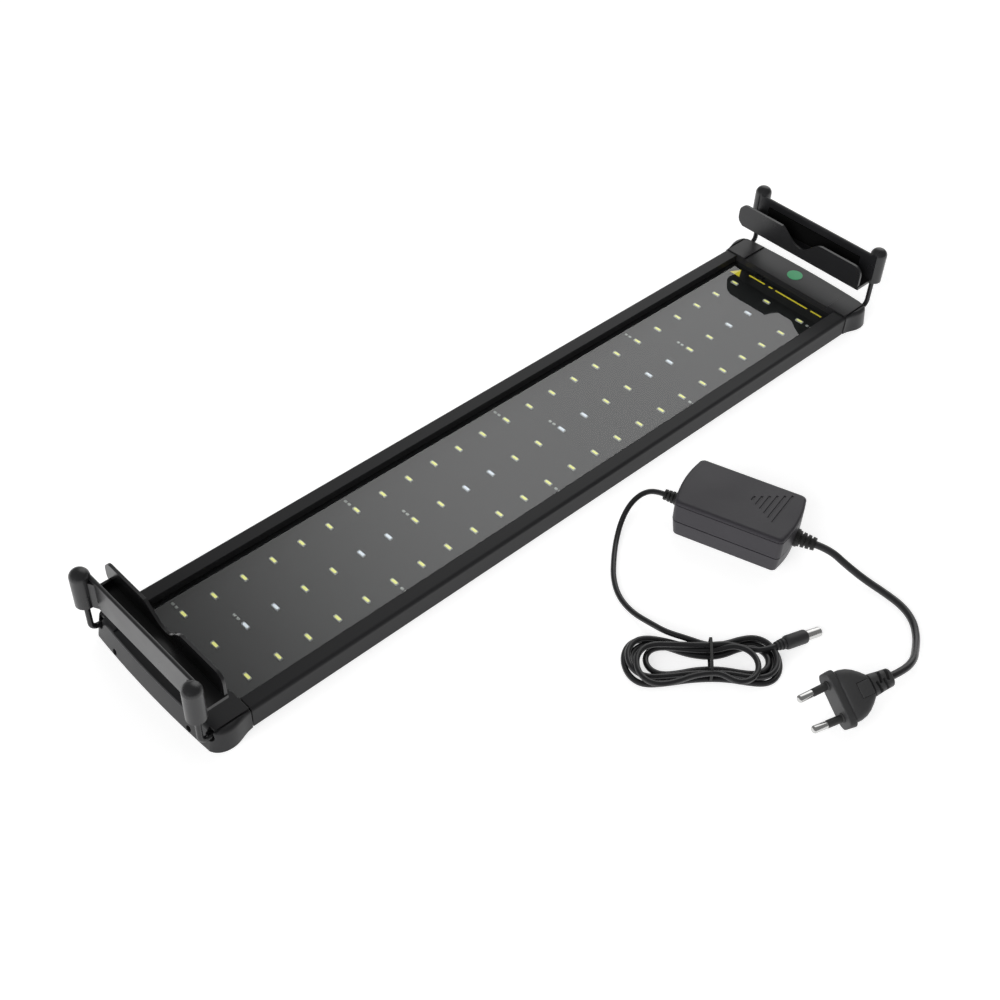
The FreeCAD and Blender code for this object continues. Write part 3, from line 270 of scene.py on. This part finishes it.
def board_surface():
    """Black solder mask over faint wide copper lanes that run along the board."""
    material, tree, shader = new_material("board_black")
    vector = scaled_coordinates(tree, (1.0, 1.0, 1.0))
    lanes = add(tree, "ShaderNodeTexWave", Scale=9.0, Distortion=0.0)
    lanes.bands_direction = "Y"
    tree.links.new(vector, lanes.inputs["Vector"])
    cloud = noise(tree, vector, 40.0, 2.0)
    tone = blend_colours(tree, cloud, (0.008, 0.008, 0.008), (0.011, 0.011, 0.011))
    tree.links.new(tone, shader.inputs["Base Color"])
    shader.inputs["Roughness"].default_value = 0.5
    shader.inputs["Specular IOR Level"].default_value = 0.15
    bump = add(tree, "ShaderNodeBump", Strength=0.02, Distance=0.0001)
    tree.links.new(lanes.outputs["Fac"], bump.inputs["Height"])
    tree.links.new(bump.outputs["Normal"], shader.inputs["Normal"])
    return material


MATERIALS = {
    "anodised_frame": surface("anodised_frame", (0.018, 0.018, 0.019), 0.42, shine=0.2,
                              grain=0.2, grain_mm=0.6, stretch=(0.03, 1.0, 1.0), edge_mm=0.5),
    "board_black": board_surface(),
    "led_white": surface("led_white", (0.62, 0.62, 0.56), 0.35, tint=0.03, edge_mm=0.1),
    "led_blue": surface("led_blue", (0.66, 0.67, 0.70), 0.30, tint=0.03, edge_mm=0.1),
    "resistor": surface("resistor", (0.62, 0.62, 0.58), 0.4, edge_mm=0.1),
    "foam": surface("foam", (0.02, 0.02, 0.02), 0.9, grain=0.6, grain_mm=0.4),
    "clear_glass": clear_pane(),
    # the yellow print gets a painted glow so that it reads brighter under the glass
    "yellow_mark": surface("yellow_mark", (0.95, 0.78, 0.04), 0.5, tint=0.06, edge_mm=0.0,
                           painted_glow=0.30),
    "green_sticker": surface("green_sticker", (0.03, 0.40, 0.15), 0.3, tint=0.06, edge_mm=0.05),
    "cap_black": surface("cap_black", (0.018, 0.018, 0.019), 0.32, shine=0.28,
                         grain=0.15, grain_mm=0.35, edge_mm=0.5),
    "screw_steel": surface("screw_steel", (0.50, 0.50, 0.51), 0.32, metal=1.0, edge_mm=0.15),
    "socket_black": surface("socket_black", (0.02, 0.02, 0.02), 0.3, edge_mm=0.2),
    "contact_metal": surface("contact_metal", (0.72, 0.70, 0.64), 0.22, metal=1.0, edge_mm=0.1),
    "guide_plastic": surface("guide_plastic", (0.03, 0.03, 0.03), 0.5, edge_mm=0.2),
    "rod_black": surface("rod_black", (0.010, 0.010, 0.011), 0.24, tint=0.1, grain=0.08,
                         grain_mm=0.8, edge_mm=0.1),
    "collar_metal": surface("collar_metal", (0.40, 0.40, 0.41), 0.35, metal=1.0, edge_mm=0.1),
    "clip_black": surface("clip_black", (0.012, 0.012, 0.013), 0.30, shine=0.55,
                          grain=0.08, grain_mm=0.5, edge_mm=0.2),
    "pad_rubber": surface("pad_rubber", (0.004, 0.004, 0.004), 0.8, shine=0.05, grain=0.4,
                          grain_mm=0.3, edge_mm=0.2),
    "adapter_plastic": surface("adapter_plastic", (0.028, 0.026, 0.031), 0.42, grain=0.3,
                               grain_mm=0.30, edge_mm=0.4, tint=0.08),
    "adapter_screw": surface("adapter_screw", (0.20, 0.20, 0.21), 0.35, metal=1.0, edge_mm=0.1),
    "pcb": surface("pcb", (0.42, 0.30, 0.10), 0.6, edge_mm=0.1),
    "winding": surface("winding", (0.45, 0.34, 0.08), 0.5, edge_mm=0.2),
    "capacitor": surface("capacitor", (0.05, 0.06, 0.12), 0.3, edge_mm=0.2),
    "relief_rubber": surface("relief_rubber", (0.012, 0.012, 0.012), 0.45, edge_mm=0.2),
    "ac_sheath": surface("ac_sheath", (0.016, 0.016, 0.017), 0.30, shine=0.45, grain=0.12, grain_mm=0.7,
                         edge_mm=0.0),
    "plug_plastic": surface("plug_plastic", (0.040, 0.040, 0.041), 0.46, grain=0.3,
                            grain_mm=0.35, edge_mm=0.3),
    "pin_metal": surface("pin_metal", (0.62, 0.62, 0.61), 0.20, metal=1.0, tint=0.04,
                         grain=0.05, edge_mm=0.15),
    "pin_sleeve": surface("pin_sleeve", (0.030, 0.030, 0.030), 0.45, edge_mm=0.1),
    "dc_sheath": surface("dc_sheath", (0.010, 0.010, 0.011), 0.27, shine=0.5, grain=0.12, grain_mm=0.6,
                         edge_mm=0.0),
    "tie": surface("tie", (0.012, 0.012, 0.012), 0.45, edge_mm=0.1),
    "connector_plastic": surface("connector_plastic", (0.026, 0.026, 0.027), 0.42, edge_mm=0.3),
    "barrel_metal": surface("barrel_metal", (0.62, 0.62, 0.61), 0.20, metal=1.0, tint=0.04,
                            grain=0.05, edge_mm=0.1),
    "barrel_insulator": surface("barrel_insulator", (0.02, 0.02, 0.02), 0.35, edge_mm=0.1),
}
WHITE_PHOSPHOR = phosphor("led_phosphor", (0.93, 0.90, 0.26), 0.8)
CLEAR_RESIN = phosphor("led_clear_resin", (0.80, 0.84, 0.90), 0.8)
TINNED = surface("tinned_end", (0.72, 0.72, 0.70), 0.28, metal=1.0, edge_mm=0.05)
# near-black surface that stands for the shade in a seam: painted shadow
PAINTED_SHADOW_RIM = surface("painted_shadow_rim", (0.008, 0.008, 0.008), 0.8, edge_mm=0.0)


def dress_cad_nodes():
    """Gives every carried-over CAD node the procedural material of its slot."""
    slots = {part["node"]: part["material_slot"] for part in frame["record"]["subparts"]}
    for name, node in nodes.items():
        node.data.materials.clear()
        node.data.materials.append(MATERIALS[slots[name]])


# ================================================================ mesh helpers
def new_object(name, data):
    piece = bpy.data.objects.new(name, data)
    bpy.context.scene.collection.objects.link(piece)
    return piece


def apply_modifiers(piece):
    """Replaces the piece's mesh by what its modifiers make of it."""
    view = bpy.context.evaluated_depsgraph_get()
    mesh = bpy.data.meshes.new_from_object(piece.evaluated_get(view))
    old = piece.data
    piece.modifiers.clear()
    piece.data = mesh
    bpy.data.meshes.remove(old)


def shade(piece, angle=35.0):
    """Smooth shading, with edges sharper than the angle kept crisp."""
    mesh = piece.data
    for polygon in mesh.polygons:
        polygon.use_smooth = True
    mesh.set_sharp_from_angle(angle=math.radians(angle))


def turned(place, about_z, about_y=0.0, about_x=0.0):
    """The matrix that turns about X, then Y, then Z, and moves to a place."""
    return (Matrix.Translation(Vector(place)) @ Matrix.Rotation(math.radians(about_z), 4, "Z")
            @ Matrix.Rotation(math.radians(about_y), 4, "Y")
            @ Matrix.Rotation(math.radians(about_x), 4, "X"))


def add_block(bm, low, high, bevel, slot_index=0):
    """A box with softened edges, added to a mesh under construction."""
    made = bmesh.ops.create_cube(bm, size=1.0)
    size = [b - a for a, b in zip(low, high)]
    centre = [(a + b) / 2 for a, b in zip(low, high)]
    verts = made["verts"]
    bmesh.ops.scale(bm, vec=size, verts=verts)
    bmesh.ops.translate(bm, vec=centre, verts=verts)
    faces = {f for v in verts for f in v.link_faces}
    for face in faces:
        face.material_index = slot_index
    if bevel > 0:
        edges = list({e for v in verts for e in v.link_edges})
        bmesh.ops.bevel(bm, geom=edges, offset=bevel, segments=2, affect="EDGES", profile=0.5)


def superellipse(x, half_y, half_z, power, count):
    """Points of a rounded rectangle in the plane at x."""
    ring = []
    for i in range(count):
        angle = 2 * math.pi * i / count
        c = math.cos(angle)
        s = math.sin(angle)
        y = half_y * math.copysign(abs(c) ** (2 / power), c)
        z = half_z * math.copysign(abs(s) ** (2 / power), s)
        ring.append(Vector((x, y, z)))
    return ring


def loft(name, rings):
    """A closed mesh through a list of equal rings of points."""
    bm = bmesh.new()
    rows = [[bm.verts.new(p) for p in ring] for ring in rings]
    count = len(rows[0])
    for first, second in zip(rows, rows[1:]):
        for i in range(count):
            j = (i + 1) % count
            bm.faces.new((first[i], first[j], second[j], second[i]))
    bm.faces.new(list(reversed(rows[0])))
    bm.faces.new(rows[-1])
    bmesh.ops.recalc_face_normals(bm, faces=bm.faces)
    mesh = bpy.data.meshes.new(name)
    bm.to_mesh(mesh)
    bm.free()
    return new_object(name, mesh)


def revolve(name, outline, count=40):
    """A solid of revolution about X from (x, radius) pairs."""
    rings = []
    for x, radius in outline:
        rings.append(superellipse(x, radius, radius, 2.0, count))
    return loft(name, rings)


def cut_away(piece, cutter):
    """Cuts one mesh out of another and removes the cutter."""
    modifier = piece.modifiers.new("cut", "BOOLEAN")
    modifier.operation = "DIFFERENCE"
    modifier.solver = "EXACT"
    modifier.object = cutter
    apply_modifiers(piece)
    bpy.data.objects.remove(cutter)


def finish_piece(piece, materials, body="lamp", angle=35.0):
    for material in materials:
        piece.data.materials.append(material)
    if piece.type == "MESH":
        shade(piece, angle)
    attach(piece, body)


def smooth_cord(name, points, diameter):
    """A cord as one NURBS spline over its route's points."""
    curve = bpy.data.curves.new(name, "CURVE")
    curve.dimensions = "3D"
    curve.resolution_u = 8
    curve.bevel_depth = diameter / 2
    curve.bevel_resolution = 6
    curve.use_fill_caps = True
    spline = curve.splines.new("NURBS")
    spline.points.add(len(points) - 1)
    for target, point in zip(spline.points, points):
        target.co = (*point, 1.0)
    spline.order_u = 3
    spline.use_endpoint_u = True
    return new_object(name, curve)


# ================================================================ cords
def hank_place(a, b, z):
    """A point of the hank, from its own millimetres to the row frame."""
    turn = math.radians(HANK_TURN)
    x = HANK_CENTRE[0] + (a * math.cos(turn) - b * math.sin(turn)) * MM
    y = HANK_CENTRE[1] + (a * math.sin(turn) + b * math.cos(turn)) * MM
    return (x, y, z * MM)


def hank_lobe(reach, top, low, z, start, end):
    """Points of one lobe: out along its top strand, round its end, back along the low one."""
    middle = (top + low) / 2
    half = (top - low) / 2
    outward = math.copysign(min(half, LOBE_END_MM), reach)
    centre = reach - outward
    points = []
    for share, rise in FLANK_STEPS:
        points.append((WAIST_MM + (centre - WAIST_MM) * share,
                       start[0] + (top - start[0]) * rise, start[1] + (z - start[1]) * rise))
    for angle in LOBE_ANGLES:
        turn = math.radians(angle)
        points.append((centre + outward * math.cos(turn), middle + half * math.sin(turn), z))
    for share, rise in reversed(FLANK_STEPS):
        points.append((WAIST_MM + (centre - WAIST_MM) * share,
                       end[0] + (low - end[0]) * rise, end[1] + (z - end[1]) * rise))
    return points


def hank_points():
    """All the points of the tied lead, turn after turn, up to the connector."""
    points = list(HANK_ENTRY_MM)
    following = [row[:2] for row in HANK_TURNS_MM[1:]] + [HANK_EXIT_MM[0][1:]]
    for row, next_top in zip(HANK_TURNS_MM, following):
        top_place = row[0:2]
        low_place = row[6:8]
        points.append((WAIST_MM, *top_place))
        points += hank_lobe(*row[2:6], top_place, low_place)
        points.append((WAIST_MM, *low_place))
        points += reversed(hank_lobe(*row[8:12], next_top, low_place))
    points += list(HANK_EXIT_MM)
    return [hank_place(*point) for point in points]


def connector_matrix():
    return turned(CONNECTOR_START, CONNECTOR_TURN, CONNECTOR_DIP)


def build_cords():
    ac = smooth_cord("ac_lead", AC_ROUTE, AC_DIAMETER)
    finish_piece(ac, [MATERIALS["ac_sheath"]])
    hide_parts("ac_cord")
    start = connector_matrix() @ Vector((-0.006, 0, 0))
    inside = connector_matrix() @ Vector((0.003, 0, 0))
    points = list(DC_ROUTE) + hank_points() + [tuple(start), tuple(inside)]
    dc = smooth_cord("dc_lead", points, DC_DIAMETER)
    finish_piece(dc, [MATERIALS["dc_sheath"]])
    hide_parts("dc_cord", "dc_hank")
    return ac, dc


def build_tie():
    """Narrow tie: a closed flat band drawn tight round the waist of the hank."""
    bm = bmesh.new()
    rows = []
    for outline in superellipse(0.0, TIE_HALF_ACROSS, TIE_HALF_HEIGHT, 5.0, TIE_STEPS):
        lean = TIE_LEAN * outline.y / TIE_HALF_ACROSS
        ring = []
        for side, shrink in ((-1, 1.0), (-1, 0.95), (1, 0.95), (1, 1.0)):
            point = Vector((lean + side * TIE_HALF_WIDTH, outline.y * shrink,
                            TIE_MIDDLE_Z + outline.z * shrink))
            ring.append(bm.verts.new(point))
        rows.append(ring)
    for i in range(TIE_STEPS):
        first = rows[i]
        second = rows[(i + 1) % TIE_STEPS]
        for j in range(4):
            k = (j + 1) % 4
            bm.faces.new((first[j], first[k], second[k], second[j]))
    bmesh.ops.recalc_face_normals(bm, faces=bm.faces)
    mesh = bpy.data.meshes.new("wire_tie")
    bm.to_mesh(mesh)
    bm.free()
    tie = new_object("wire_tie", mesh)
    place = hank_place(WAIST_MM, 0.0, 0)
    tie.data.transform(turned(place, HANK_TURN))
    finish_piece(tie, [MATERIALS["tie"]])
    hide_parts("hank_tie")
    return tie


# ================================================================ mains plug
def build_plug():
    """Flat moulded plug: stepped face plate, waisted body, raised panel, slotted relief."""
    rings = []
    for x, half_y, half_z, power in (
            (0.0000, 13.6, 4.9, 5.0), (-0.0004, 14.2, 5.3, 5.0), (-0.0036, 14.6, 5.5, 5.0),
            (-0.0041, 14.2, 5.2, 5.0), (-0.0042, 12.8, 5.4, 4.0), (-0.0052, 13.1, 6.0, 4.0),
            (-0.0080, 13.0, 6.25, 4.0), (-0.0110, 12.3, 6.3, 4.0), (-0.0140, 10.9, 6.2, 3.6),
            (-0.0168, 8.9, 6.0, 3.4), (-0.0192, 6.7, 5.7, 3.2), (-0.0195, 5.4, 4.9, 3.0),
            (-0.0200, 5.3, 4.8, 3.0), (-0.0202, 5.9, 5.4, 3.0), (-0.0222, 5.7, 5.1, 3.0),
            (-0.0270, 5.1, 4.7, 3.0), (-0.0322, 4.7, 4.3, 3.0), (-0.0329, 4.3, 3.9, 2.6),
            (-0.0330, 2.6, 2.6, 2.2)):
        rings.append(superellipse(x, half_y * MM, half_z * MM, power, 48))
    body = loft("plug_shell", rings)
    for i, (x, side) in enumerate(((-23.4, 1), (-25.6, -1), (-27.8, 1), (-30.2, -1))):
        for face in (1, -1):
            bm = bmesh.new()
            add_block(bm, (-0.00095, -0.0030, -0.0018), (0.00095, 0.0030, 0.0018), 0.0003)
            mesh = bpy.data.meshes.new("slot")
            bm.to_mesh(mesh)
            bm.free()
            cutter = bpy.data.objects.new("slot", mesh)
            bpy.context.scene.collection.objects.link(cutter)
            height = 4.6 - 0.05 * i
            cutter.data.transform(turned((x * MM, side * 0.0021, face * height * MM), 12.0 * side))
            cut_away(body, cutter)
    bm = bmesh.new()
    bm.from_mesh(body.data)
    bmesh.ops.remove_doubles(bm, verts=bm.verts, dist=1e-6)
    bm.to_mesh(body.data)
    bm.free()
    place = turned(PLUG_FRONT, PLUG_TURN, 0.0, PLUG_ROLL)
    body.data.transform(place)
    finish_piece(body, [MATERIALS["plug_plastic"]])
    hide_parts("plug_body")
    panel = build_plug_panel(place)
    return [body, panel]


def build_plug_panel(place):
    """Low plate on the plug's upper side, with a painted shadow round it: a near-black rim under its
    edge stands for the shade in the seam.
    """
    bm = bmesh.new()
    add_block(bm, (-0.0185, -0.0037, 0.0056), (-0.0114, 0.0037, 0.0068), 0.0003, 0)
    # wider thin plate under the panel, near-black: painted shadow in the seam round it
    add_block(bm, (-0.0189, -0.0041, 0.0056), (-0.0110, 0.0041, 0.00636), 0.0001, 1)
    mesh = bpy.data.meshes.new("plug_panel")
    bm.to_mesh(mesh)
    bm.free()
    panel = new_object("plug_panel", mesh)
    panel.data.transform(place)
    finish_piece(panel, [MATERIALS["plug_plastic"], PAINTED_SHADOW_RIM])
    return panel


def build_pins():
    """Round-nosed plug pins and the black sleeves that cover their first half."""
    place = turned(PLUG_FRONT, PLUG_TURN, 0.0, PLUG_ROLL)
    made = []
    for label, side in (("far", -1), ("near", 1)):
        nose = [(-0.005, 0.0016), (0.0090, 0.0016), (0.0092, 0.0019), (0.0094, 0.0020)]
        for i in range(7):
            angle = math.pi / 2 * i / 6
            nose.append((0.0160 + 0.0014 * math.sin(angle), 0.0006 + 0.0014 * math.cos(angle)))
        pin = revolve("plug_pin_" + label, nose)
        sleeve = revolve("plug_pin_sleeve_" + label,
                         [(-0.001, 0.0025), (0.0004, 0.0025), (0.0008, 0.0020), (0.0090, 0.0020),
                          (0.0092, 0.0019), (0.0092, 0.0016)])
        for piece, slot in ((pin, "pin_metal"), (sleeve, "pin_sleeve")):
            root = Matrix.Translation((0, side * PIN_OFFSET, 0))
            lean = Matrix.Rotation(math.radians(-side * PIN_LEAN), 4, "Z")
            piece.data.transform(place @ root @ lean)
            finish_piece(piece, [MATERIALS[slot]])
            made.append(piece)
        if side == -1:
            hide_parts("plug_pins")
            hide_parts("plug_sleeves")
    return made


# ================================================================ barrel connector
def build_connector():
    """Moulded grip with a thin waist, a hollow silver barrel and its dark insulator."""
    place = connector_matrix()
    grip = revolve("connector_grip", [
        (0.0, 0.0016), (0.0002, 0.0023), (0.0012, 0.0024), (0.0013, 0.0018), (0.0018, 0.0018),
        (0.0019, 0.0026), (0.0030, 0.0027), (0.0031, 0.0021), (0.0037, 0.0021), (0.0038, 0.0029),
        (0.0050, 0.0029), (0.0051, 0.0024), (0.0057, 0.0024), (0.0059, 0.0032), (0.0066, 0.0036),
        (0.0076, 0.0037), (0.0176, 0.0037), (0.0184, 0.0035), (0.0189, 0.0031), (0.0190, 0.0029)])
    barrel = revolve("connector_tube", [
        (0.0185, 0.00275), (0.0268, 0.00275), (0.0274, 0.00262), (0.0275, 0.0024),
        (0.0273, 0.0021), (0.0215, 0.0021)])
    core = revolve("connector_core", [
        (0.0200, 0.0018), (0.0269, 0.0018), (0.0272, 0.0016), (0.0268, 0.00125),
        (0.0225, 0.00125)])
    made = []
    for piece, slot, node in ((grip, "connector_plastic", "connector_body"),
                              (barrel, "barrel_metal", "connector_barrel"),
                              (core, "barrel_insulator", "connector_insulator")):
        piece.data.transform(place)
        finish_piece(piece, [MATERIALS[slot]])
        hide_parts(node)
        made.append(piece)
    return made


# ================================================================ LED packages
def led_blocks(node):
    """Middle of each chip of a CAD node, read from its loose parts."""
    mesh = nodes[node].data
    bm = bmesh.new()
    bm.from_mesh(mesh)
    bmesh.ops.remove_doubles(bm, verts=bm.verts, dist=1e-7)
    middles = []
    left = set(bm.verts)
    while left:
        start = left.pop()
        stack = [start]
        group = [start]
        while stack:
            for edge in stack.pop().link_edges:
                for vert in edge.verts:
                    if vert in left:
                        left.remove(vert)
                        stack.append(vert)
                        group.append(vert)
        low = Vector([min(v.co[i] for v in group) for i in range(3)])
        high = Vector([max(v.co[i] for v in group) for i in range(3)])
        middles.append(((low + high) / 2, low, high))
    bm.free()
    return middles


def add_package(bm, middle, low, high):
    """One LED: bevelled housing with a sunk oval cup, its filling and two tinned tabs."""
    half_x = (high.x - low.x) / 2
    half_y = (high.y - low.y) / 2
    rows = []
    shapes = ((low.z, 1.0, 1.0, 12.0), (high.z - 0.00012, 1.0, 1.0, 12.0),
              (high.z, 0.95, 0.97, 9.0), (high.z, 0.86, 0.82, 5.0),
              (high.z - 0.00018, 0.80, 0.76, 4.0))
    for z, scale_x, scale_y, power in shapes:
        ring = superellipse(0, half_x * scale_x, half_y * scale_y, power, PACKAGE_STEPS)
        rows.append([bm.verts.new((middle.x + p.y, middle.y + p.z, z)) for p in ring])
    for first, second in zip(rows, rows[1:]):
        for i in range(PACKAGE_STEPS):
            j = (i + 1) % PACKAGE_STEPS
            bm.faces.new((first[i], first[j], second[j], second[i]))
    fill = bm.faces.new(rows[-1])
    fill.material_index = 1
    bm.faces.new(list(reversed(rows[0])))
    for side in (-1, 1):
        y0 = middle.y + side * (half_y - 0.0009)
        y1 = middle.y + side * half_y
        add_block(bm, (middle.x - half_x * 0.8, min(y0, y1), low.z),
                  (middle.x + half_x * 0.8, max(y0, y1), low.z + 0.00025), 0.0, 2)


def build_leds():
    for name, node, fill in (("white_led_packages", "white_leds", WHITE_PHOSPHOR),
                             ("blue_led_packages", "blue_leds", CLEAR_RESIN)):
        bm = bmesh.new()
        for middle, low, high in led_blocks(node):
            add_package(bm, middle, low, high)
        bmesh.ops.recalc_face_normals(bm, faces=bm.faces)
        mesh = bpy.data.meshes.new(name)
        bm.to_mesh(mesh)
        bm.free()
        slot = "led_white" if node == "white_leds" else "led_blue"
        piece = new_object(name, mesh)
        finish_piece(piece, [MATERIALS[slot], fill, TINNED], angle=40.0)
        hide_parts(node)


def build_resistors():
    """Chip resistors with a pale body and tinned ends."""
    bm = bmesh.new()
    for middle, low, high in led_blocks("board_resistors"):
        half_x = (high.x - low.x) / 2
        add_block(bm, (low.x, low.y + 0.00035, low.z),
                  (high.x, high.y - 0.00035, high.z), 0.00008, 0)
        for y0, y1 in ((low.y, low.y + 0.0004), (high.y - 0.0004, high.y)):
            add_block(bm, (middle.x - half_x, y0, low.z), (middle.x + half_x, y1, high.z),
                      0.0001, 1)
    mesh = bpy.data.meshes.new("chip_resistors")
    bm.to_mesh(mesh)
    bm.free()
    piece = new_object("chip_resistors", mesh)
    finish_piece(piece, [MATERIALS["resistor"], TINNED])
    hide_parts("board_resistors")


# ================================================================ studio
def build_studio():
    bm = bmesh.new()
    bmesh.ops.create_grid(bm, x_segments=4, y_segments=4, size=FLOOR_HALF_WIDTH)
    mesh = bpy.data.meshes.new("studio_floor")
    bm.to_mesh(mesh)
    bm.free()
    floor = bpy.data.objects.new("studio_floor", mesh)
    floor.location = (0, 0, -0.00005)
    bpy.context.scene.collection.objects.link(floor)
    material, tree, shader = new_material("studio_floor")
    shader.inputs["Base Color"].default_value = (0.60, 0.60, 0.60, 1.0)
    shader.inputs["Roughness"].default_value = 0.9
    shader.inputs["Specular IOR Level"].default_value = 0.1
    shader.inputs["Emission Color"].default_value = (1.0, 1.0, 1.0, 1.0)
    shader.inputs["Emission Strength"].default_value = 0.70
    mesh.materials.append(material)

    world = bpy.data.worlds.new("studio")
    world.use_nodes = True
    bpy.context.scene.world = world
    light_the_backdrop(world.node_tree)
    add_sun("key", (-1.0, -0.15, 0.40), 50.0, 2.4)
    bpy.context.scene.view_settings.view_transform = "Standard"


def light_the_backdrop(tree):
    """Dim surroundings with one large soft glow up behind the lamp's right end."""
    background = tree.nodes["Background"]
    background.inputs["Color"].default_value = (1.0, 1.0, 1.0, 1.0)
    direction = tree.nodes.new("ShaderNodeTexCoord")
    toward = tree.nodes.new("ShaderNodeVectorMath")
    toward.operation = "DOT_PRODUCT"
    toward.inputs[1].default_value = Vector(GLOW_TOWARD).normalized()
    glow = tree.nodes.new("ShaderNodeMapRange")
    glow.interpolation_type = "SMOOTHSTEP"
    glow.inputs["From Min"].default_value = GLOW_EDGE
    glow.inputs["From Max"].default_value = GLOW_CORE
    glow.inputs["To Min"].default_value = BACKDROP_STRENGTH
    glow.inputs["To Max"].default_value = GLOW_STRENGTH
    tree.links.new(direction.outputs["Generated"], toward.inputs[0])
    tree.links.new(toward.outputs["Value"], glow.inputs["Value"])
    tree.links.new(glow.outputs["Result"], background.inputs["Strength"])


def add_sun(name, toward, spread, strength):
    """Wide soft light that comes from one direction and leaves no glare on the glass."""
    light = bpy.data.lights.new(name, "SUN")
    light.angle = math.radians(spread)
    light.energy = strength
    lamp = bpy.data.objects.new(name, light)
    lamp.visible_glossy = False
    lamp.rotation_euler = Vector(toward).to_track_quat("Z", "Y").to_euler()
    bpy.context.scene.collection.objects.link(lamp)


def build_camera():
    data = bpy.data.cameras.new("camera")
    data.sensor_fit = "HORIZONTAL"
    data.sensor_width = 36.0
    data.lens = CAMERA_LENS_MM
    data.clip_start = 0.01
    data.clip_end = 2.0 * FLOOR_HALF_WIDTH
    camera = bpy.data.objects.new("camera", data)
    back = [-c for c in CAMERA_FORWARD]
    rows = Matrix((CAMERA_RIGHT, CAMERA_UP, back)).transposed().to_4x4()
    rows.translation = Vector(CAMERA_PLACE)
    camera.matrix_world = rows
    bpy.context.scene.collection.objects.link(camera)
    bpy.context.scene.camera = camera


# ================================================================ assembly
dress_cad_nodes()
build_camera()
build_studio()
ac_lead, dc_lead = build_cords()
wire_tie = build_tie()
plug_pieces = build_plug() + build_pins()
connector_pieces = build_connector()
build_leds()
build_resistors()
